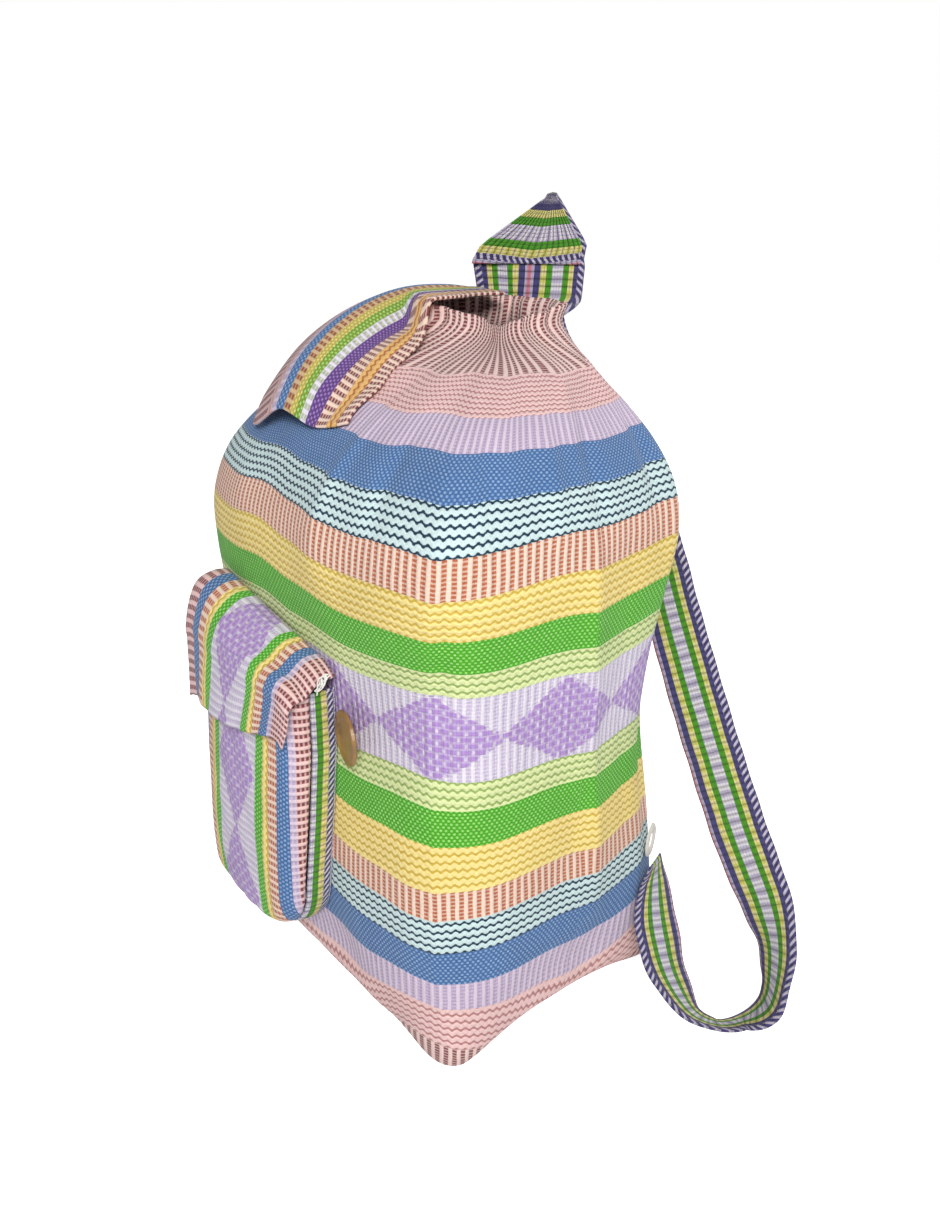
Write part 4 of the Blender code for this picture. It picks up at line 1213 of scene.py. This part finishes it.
def build_pocket():
    """Front cloth, webbing gusset and flap of the pocket."""
    outline = pocket_outline(241)
    step = np.gradient(outline, axis=0)
    centre = np.array([POCKET_X, (POCKET_BOTTOM_Z + POCKET_TOP_Z) / 2.0])
    rows = []
    inward = []
    for (x, z), (dx, dz) in zip(outline, step):
        normal = np.array([-dz, 0.0, dx])
        normal /= np.linalg.norm(normal)
        if normal[0] * (centre[0] - x) + normal[2] * (centre[1] - z) < 0.0:
            normal = -normal
        x2 = x + normal[0] * WEB_THICK
        z2 = z + normal[2] * WEB_THICK
        start = min(body_front(x, z), body_front(x2, z2)) - TOUCH
        share = (x - POCKET_X) / (POCKET_WIDTH / 2.0)
        end = body_front(POCKET_X, max(z, 0.070)) - POCKET_GUSSET + 0.004 * share * share + TOUCH
        row = []
        for k in np.linspace(0.0, 1.0, 13):
            bow = -0.0012 * math.sin(math.pi * k)
            row.append((x + normal[0] * bow, start + (end - start) * k, z + normal[2] * bow))
        rows.append(row)
        inward.append([normal] * 13)
    rows = np.array(rows)
    arc = run_along(outline)
    uv = cloth_map(np.linspace(0.0, 1.0, 13)[None, :] * GUSSET_BAND, arc[:, None])
    mat = striped("gusset webbing", webbing_bands(GUSSET_BAND, True), True, group="webbing", relief=0.0010)
    gusset = slab("pocket_gusset_webbing", rows, WEB_THICK, uv, [mat], np.array(inward), round_edge=0.3)
    finish_piece(gusset, "belt_webbing", "pocket_gusset")
    # Front cloth with its edges turned back
    inset = POCKET_CLOTH
    u_list = np.concatenate([-1.0 + 0.24 * np.linspace(0.0, 1.0, 16) ** 1.8, np.linspace(-0.70, 0.70, 33),
                             (1.0 - 0.24 * np.linspace(0.0, 1.0, 16) ** 1.8)[::-1]])
    v_list = np.concatenate([0.20 * np.linspace(0.0, 1.0, 20) ** 1.8, np.linspace(0.22, 1.0, 45)])
    height = POCKET_TOP_Z - POCKET_BOTTOM_Z - inset
    grid = []
    for v in v_list:
        z = POCKET_BOTTOM_Z + inset + v * height
        right = pocket_reach(z, POCKET_CORNER, inset)
        left = pocket_reach(z, POCKET_CORNER_LEFT, inset)
        row = []
        for u in u_list:
            x = POCKET_X + (right if u > 0.0 else left) * u
            crumple = 0.0012 * math.sin(42.0 * x + 31.0 * z) * math.sin(55.0 * z + 8.0 * u) * (1.0 - u * u)
            row.append((x, pocket_back_y(x, z) - abs(crumple), z))
        grid.append(row)
    grid = np.array(grid)
    normals = grid_normals(grid)
    if normals[40, 32, 1] > 0.0:
        normals = -normals
    run = np.concatenate([np.zeros((grid.shape[0], 1)),
                          np.cumsum(np.linalg.norm(np.diff(grid, axis=1), axis=2), axis=1)], axis=1)
    uv = cloth_map(run - run[:, 32:33] + POCKET_SPREAD / 2.0, grid[:, :, 2])
    chain = {"Diamond Middle": POCKET_SPREAD / 2.0, "Diamond Half": 0.023, "Diamond Pitch": 0.090,
             "Diamond Shift": 0.667}
    mat = striped("pocket cotton", POCKET_STRIPES, True, diamond=chain)
    panel = slab("pocket_front_cloth", grid, POCKET_CLOTH, uv, [mat], normals, round_edge=0.4)
    finish_piece(panel, "pocket_cloth", "pocket_panel")
    # Flap over the pocket's mouth
    half = POCKET_WIDTH / 2.0 + POCKET_FLAP_SIDE
    grid = []
    for u in np.linspace(-1.0, 1.0, 61):
        x = POCKET_X + half * u
        seam_z = POCKET_TOP_Z + 0.026 - POCKET_TILT * u
        back = body_front(x, seam_z) - TOUCH - 0.0016
        near = POCKET_X + min(abs(half * u), POCKET_WIDTH / 2.0 - POCKET_EDGE) * (1.0 if u > 0 else -1.0)
        front = pocket_back_y(near, POCKET_TOP_Z) - POCKET_CLOTH - 0.0012
        drop = POCKET_FLAP_DROP * (1.0 - 0.30 * u - 0.10 * u ** 4)
        top = POCKET_TOP_Z + 0.0050 + 0.5 * POCKET_TILT * max(0.0, -u)
        round_z = top + 0.012 - 0.9 * POCKET_TILT * u
        path = [(back, seam_z), (back * 0.65 + front * 0.35, seam_z * 0.75 + round_z * 0.25 + 0.002),
                (back * 0.3 + front * 0.7, round_z + 0.001),
                (front + 0.0025, (round_z + top) / 2.0 + 0.001),
                (front - 0.0014, top - 0.003)]
        for k in range(1, 8):
            z = top - 0.003 - (drop - 0.003) * k / 7.0
            face = pocket_back_y(near, z)
            path.append((face - POCKET_CLOTH - 0.0020 - 0.004 * k / 7.0, z))
        side = [1.0 - 0.05 * max(0.0, (k - 4) / 7.0) ** 1.5 for k in range(len(path))]
        column = smooth_path([(POCKET_X + half * u * side[k], p[0], p[1]) for k, p in enumerate(path)], 49)
        wave = 0.0010 * np.sin(3.0 * math.pi * u + np.linspace(0.0, 4.0, 49)) * np.linspace(0.0, 1.0, 49)
        column[:, 1] -= np.abs(wave)
        curl = max(0.0, (abs(u) - 0.76) / 0.24) ** 2 * (0.0085 if u > 0.0 else 0.0060)
        column[:, 2] -= curl * np.linspace(0.3, 1.0, 49) ** 0.5
        grid.append(column)
    grid = np.array(grid)
    normals = grid_normals(grid)
    if normals[30, 40, 1] > 0.0:
        normals = -normals
    normals[:, 0] = (0.0, 0.0, 1.0)
    run = run_along(grid[30])
    uv = cloth_map(np.linspace(0.0, 1.0, 61)[:, None] * POCKET_SPREAD, 0.30 - run[None, :])
    chain["Diamond Shift"] = 0.444
    mat = striped("pocket flap cotton", POCKET_STRIPES, True, diamond=chain)
    flap = slab("pocket_flap_piece", grid, POCKET_CLOTH, uv, [mat], normals, round_edge=0.5)
    finish_piece(flap, "pocket_flap_cloth", "pocket_flap")


def build_thread():
    """White knot of sewing thread at the corner of the pocket flap."""
    colours = bpy.context.scene.bag_colours
    curve = bpy.data.curves.new("flap_thread_knot", "CURVE")
    curve.dimensions = "3D"
    curve.bevel_depth = 0.0004
    curve.bevel_resolution = 2
    x0 = POCKET_X + POCKET_WIDTH / 2.0 + 0.0045
    y0 = pocket_back_y(POCKET_X + 0.050, POCKET_TOP_Z) + 0.016
    z0 = POCKET_TOP_Z + 0.010
    rng = np.random.default_rng(3)
    for _ in range(11):
        spline = curve.splines.new("POLY")
        count = 22
        spline.points.add(count - 1)
        turn = rng.uniform(0.0, 6.28)
        size = rng.uniform(0.0012, 0.0052)
        tilt = rng.uniform(-0.004, 0.004)
        for k in range(count):
            a = turn + k / count * 3.6
            p = (x0 + 0.0016 + 0.0012 * math.sin(2.0 * a + turn), y0 + tilt + size * math.cos(a),
                 z0 + 0.8 * tilt + size * math.sin(1.3 * a) - 0.003 * k / count, 1.0)
            spline.points[k].co = p
    obj = bpy.data.objects.new("flap_thread_knot", curve)
    bpy.context.scene.collection.objects.link(obj)
    white = simple("white sewing thread", tuple(colours.thread), 0.8, grain=0.08, scale=1500.0)
    curve.materials.append(white)
    bpy.ops.object.select_all(action="DESELECT")
    obj.select_set(True)
    bpy.context.view_layer.objects.active = obj
    bpy.ops.object.convert(target="MESH")
    obj = bpy.context.view_layer.objects.active
    finish_piece(obj, "pocket_flap_cloth")


def finish_hard_parts():
    """Better finish for the button and the eyelet rings, which stay as they are."""
    colours = bpy.context.scene.bag_colours
    shell = simple("coconut shell", tuple(colours.shell), 0.38, grain=0.75, scale=90.0, coat=0.3)
    ring = simple("pale ring", tuple(colours.ring), 0.32, grain=0.10, scale=300.0, coat=0.2)
    for node, mat in (("pocket_button", shell), ("strap_eyelet_right", ring), ("strap_eyelet_left", ring)):
        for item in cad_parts[node].material_slots:
            item.material = mat


def build_stage():
    """Pale floor, soft lights and the camera at the photograph's angle."""
    scene = bpy.context.scene
    bpy.ops.object.select_all(action="DESELECT")
    bpy.ops.mesh.primitive_plane_add(size=14.0, location=(0.0, 0.0, -0.0004))
    floor = bpy.context.view_layer.objects.active
    floor.name = "floor"
    mat = bpy.data.materials.new("pale floor")
    mat.use_nodes = True
    tree = mat.node_tree
    shader = tree.nodes["Principled BSDF"]
    shader.inputs["Base Color"].default_value = (0.90, 0.90, 0.90, 1.0)
    shader.inputs["Roughness"].default_value = 0.9
    shader.inputs["Specular IOR Level"].default_value = 0.1
    shader.inputs["Emission Color"].default_value = (1.0, 1.0, 1.0, 1.0)
    sight = tree.nodes.new("ShaderNodeLightPath")
    glow = tree.nodes.new("ShaderNodeMath")
    glow.operation = "MULTIPLY"
    glow.inputs[1].default_value = 0.82
    tree.links.new(sight.outputs["Is Camera Ray"], glow.inputs[0])
    tree.links.new(glow.outputs[0], shader.inputs["Emission Strength"])
    floor.data.materials.append(mat)
    world = bpy.data.worlds.new("soft room")
    scene.world = world
    world.use_nodes = True
    tree = world.node_tree
    background = tree.nodes["Background"]
    background.inputs["Color"].default_value = (0.95, 0.97, 1.0, 1.0)
    background.inputs["Strength"].default_value = 0.30
    white = tree.nodes.new("ShaderNodeBackground")
    white.inputs["Color"].default_value = (1.0, 1.0, 1.0, 1.0)
    white.inputs["Strength"].default_value = 1.0
    path = tree.nodes.new("ShaderNodeLightPath")
    blend = tree.nodes.new("ShaderNodeMixShader")
    tree.links.new(path.outputs["Is Camera Ray"], blend.inputs[0])
    tree.links.new(background.outputs[0], blend.inputs[1])
    tree.links.new(white.outputs[0], blend.inputs[2])
    tree.links.new(blend.outputs[0], tree.nodes["World Output"].inputs["Surface"])
    for name, place, size, power in (
            ("key light", (1.10, -0.78, 1.12), 0.45, 20.5),
            ("fill light", (-1.0, -1.3, 1.2), 1.6, 1.5),
            ("back light", (-0.3, 1.6, 1.1), 1.4, 17.0)):
        light = bpy.data.lights.new(name, "AREA")
        light.size = size
        light.energy = power
        lamp = bpy.data.objects.new(name, light)
        lamp.location = place
        aim = Vector((0.0, 0.0, 0.22)) - Vector(place)
        lamp.rotation_euler = aim.to_track_quat("-Z", "Y").to_euler()
        scene.collection.objects.link(lamp)
    camera = bpy.data.cameras.new("photo camera")
    camera.sensor_fit = "VERTICAL"
    camera.sensor_height = 24.0
    camera.lens = 1030.0 / 1215.0 * 24.0
    camera.clip_start = 0.01
    view = bpy.data.objects.new("photo camera", camera)
    view.location = (0.52363, -0.37627, 0.50336)
    view.rotation_euler = Vector((-0.72862, 0.57234, -0.37622)).to_track_quat("-Z", "Y").to_euler()
    scene.collection.objects.link(view)
    scene.camera = view
    scene.view_settings.view_transform = "Standard"


class BAG_OT_body(bpy.types.Operator):
    """Build the striped body of the backpack"""

    bl_idname = "bag.body"
    bl_label = "Body"

    def execute(self, context):
        build_body()
        return {"FINISHED"}


class BAG_OT_straps(bpy.types.Operator):
    """Build both shoulder straps and the hang loop"""

    bl_idname = "bag.straps"
    bl_label = "Straps and Loop"

    def execute(self, context):
        build_strap("strap_right_webbing", 1.0, "shoulder_strap_right")
        build_strap("strap_left_webbing", -1.0, "shoulder_strap_left")
        build_loop()
        return {"FINISHED"}


class BAG_OT_top_flap(bpy.types.Operator):
    """Build the cloth flap beside the mouth"""

    bl_idname = "bag.top_flap"
    bl_label = "Top Flap"

    def execute(self, context):
        build_top_flap()
        return {"FINISHED"}


class BAG_OT_pocket(bpy.types.Operator):
    """Build the front pocket, its gusset, flap and thread"""

    bl_idname = "bag.pocket"
    bl_label = "Pocket"

    def execute(self, context):
        build_pocket()
        build_thread()
        return {"FINISHED"}


class BAG_OT_hard_parts(bpy.types.Operator):
    """Finish the button and the eyelet rings"""

    bl_idname = "bag.hard_parts"
    bl_label = "Button and Rings"

    def execute(self, context):
        finish_hard_parts()
        return {"FINISHED"}


class BAG_OT_stage(bpy.types.Operator):
    """Build the floor, lights and camera"""

    bl_idname = "bag.stage"
    bl_label = "Stage"

    def execute(self, context):
        build_stage()
        return {"FINISHED"}


class BAG_PT_panel(bpy.types.Panel):
    """Sizes, colours and steps of the backpack"""

    bl_label = "Woven Backpack"
    bl_idname = "BAG_PT_panel"
    bl_space_type = "VIEW_3D"
    bl_region_type = "UI"
    bl_category = "Woven Backpack"

    def draw(self, context):
        layout = self.layout
        for group in (context.scene.bag_sizes, context.scene.bag_colours):
            for key in group.__annotations__:
                layout.prop(group, key)
        for step in STEPS:
            layout.operator(step.bl_idname)


STEPS = (BAG_OT_stage, BAG_OT_body, BAG_OT_straps, BAG_OT_top_flap, BAG_OT_pocket, BAG_OT_hard_parts)
CLASSES = (BagSizes, BagColours, *STEPS, BAG_PT_panel)


def register():
    for item in CLASSES:
        bpy.utils.register_class(item)
    bpy.types.Scene.bag_sizes = bpy.props.PointerProperty(type=BagSizes)
    bpy.types.Scene.bag_colours = bpy.props.PointerProperty(type=BagColours)


def unregister():
    del bpy.types.Scene.bag_colours
    del bpy.types.Scene.bag_sizes
    for item in reversed(CLASSES):
        bpy.utils.unregister_class(item)


def main():
    register()
    bpy.ops.bag.stage()
    bpy.ops.bag.body()
    bpy.ops.bag.straps()
    bpy.ops.bag.top_flap()
    bpy.ops.bag.pocket()
    bpy.ops.bag.hard_parts()


if __name__ == "__main__":
    main()
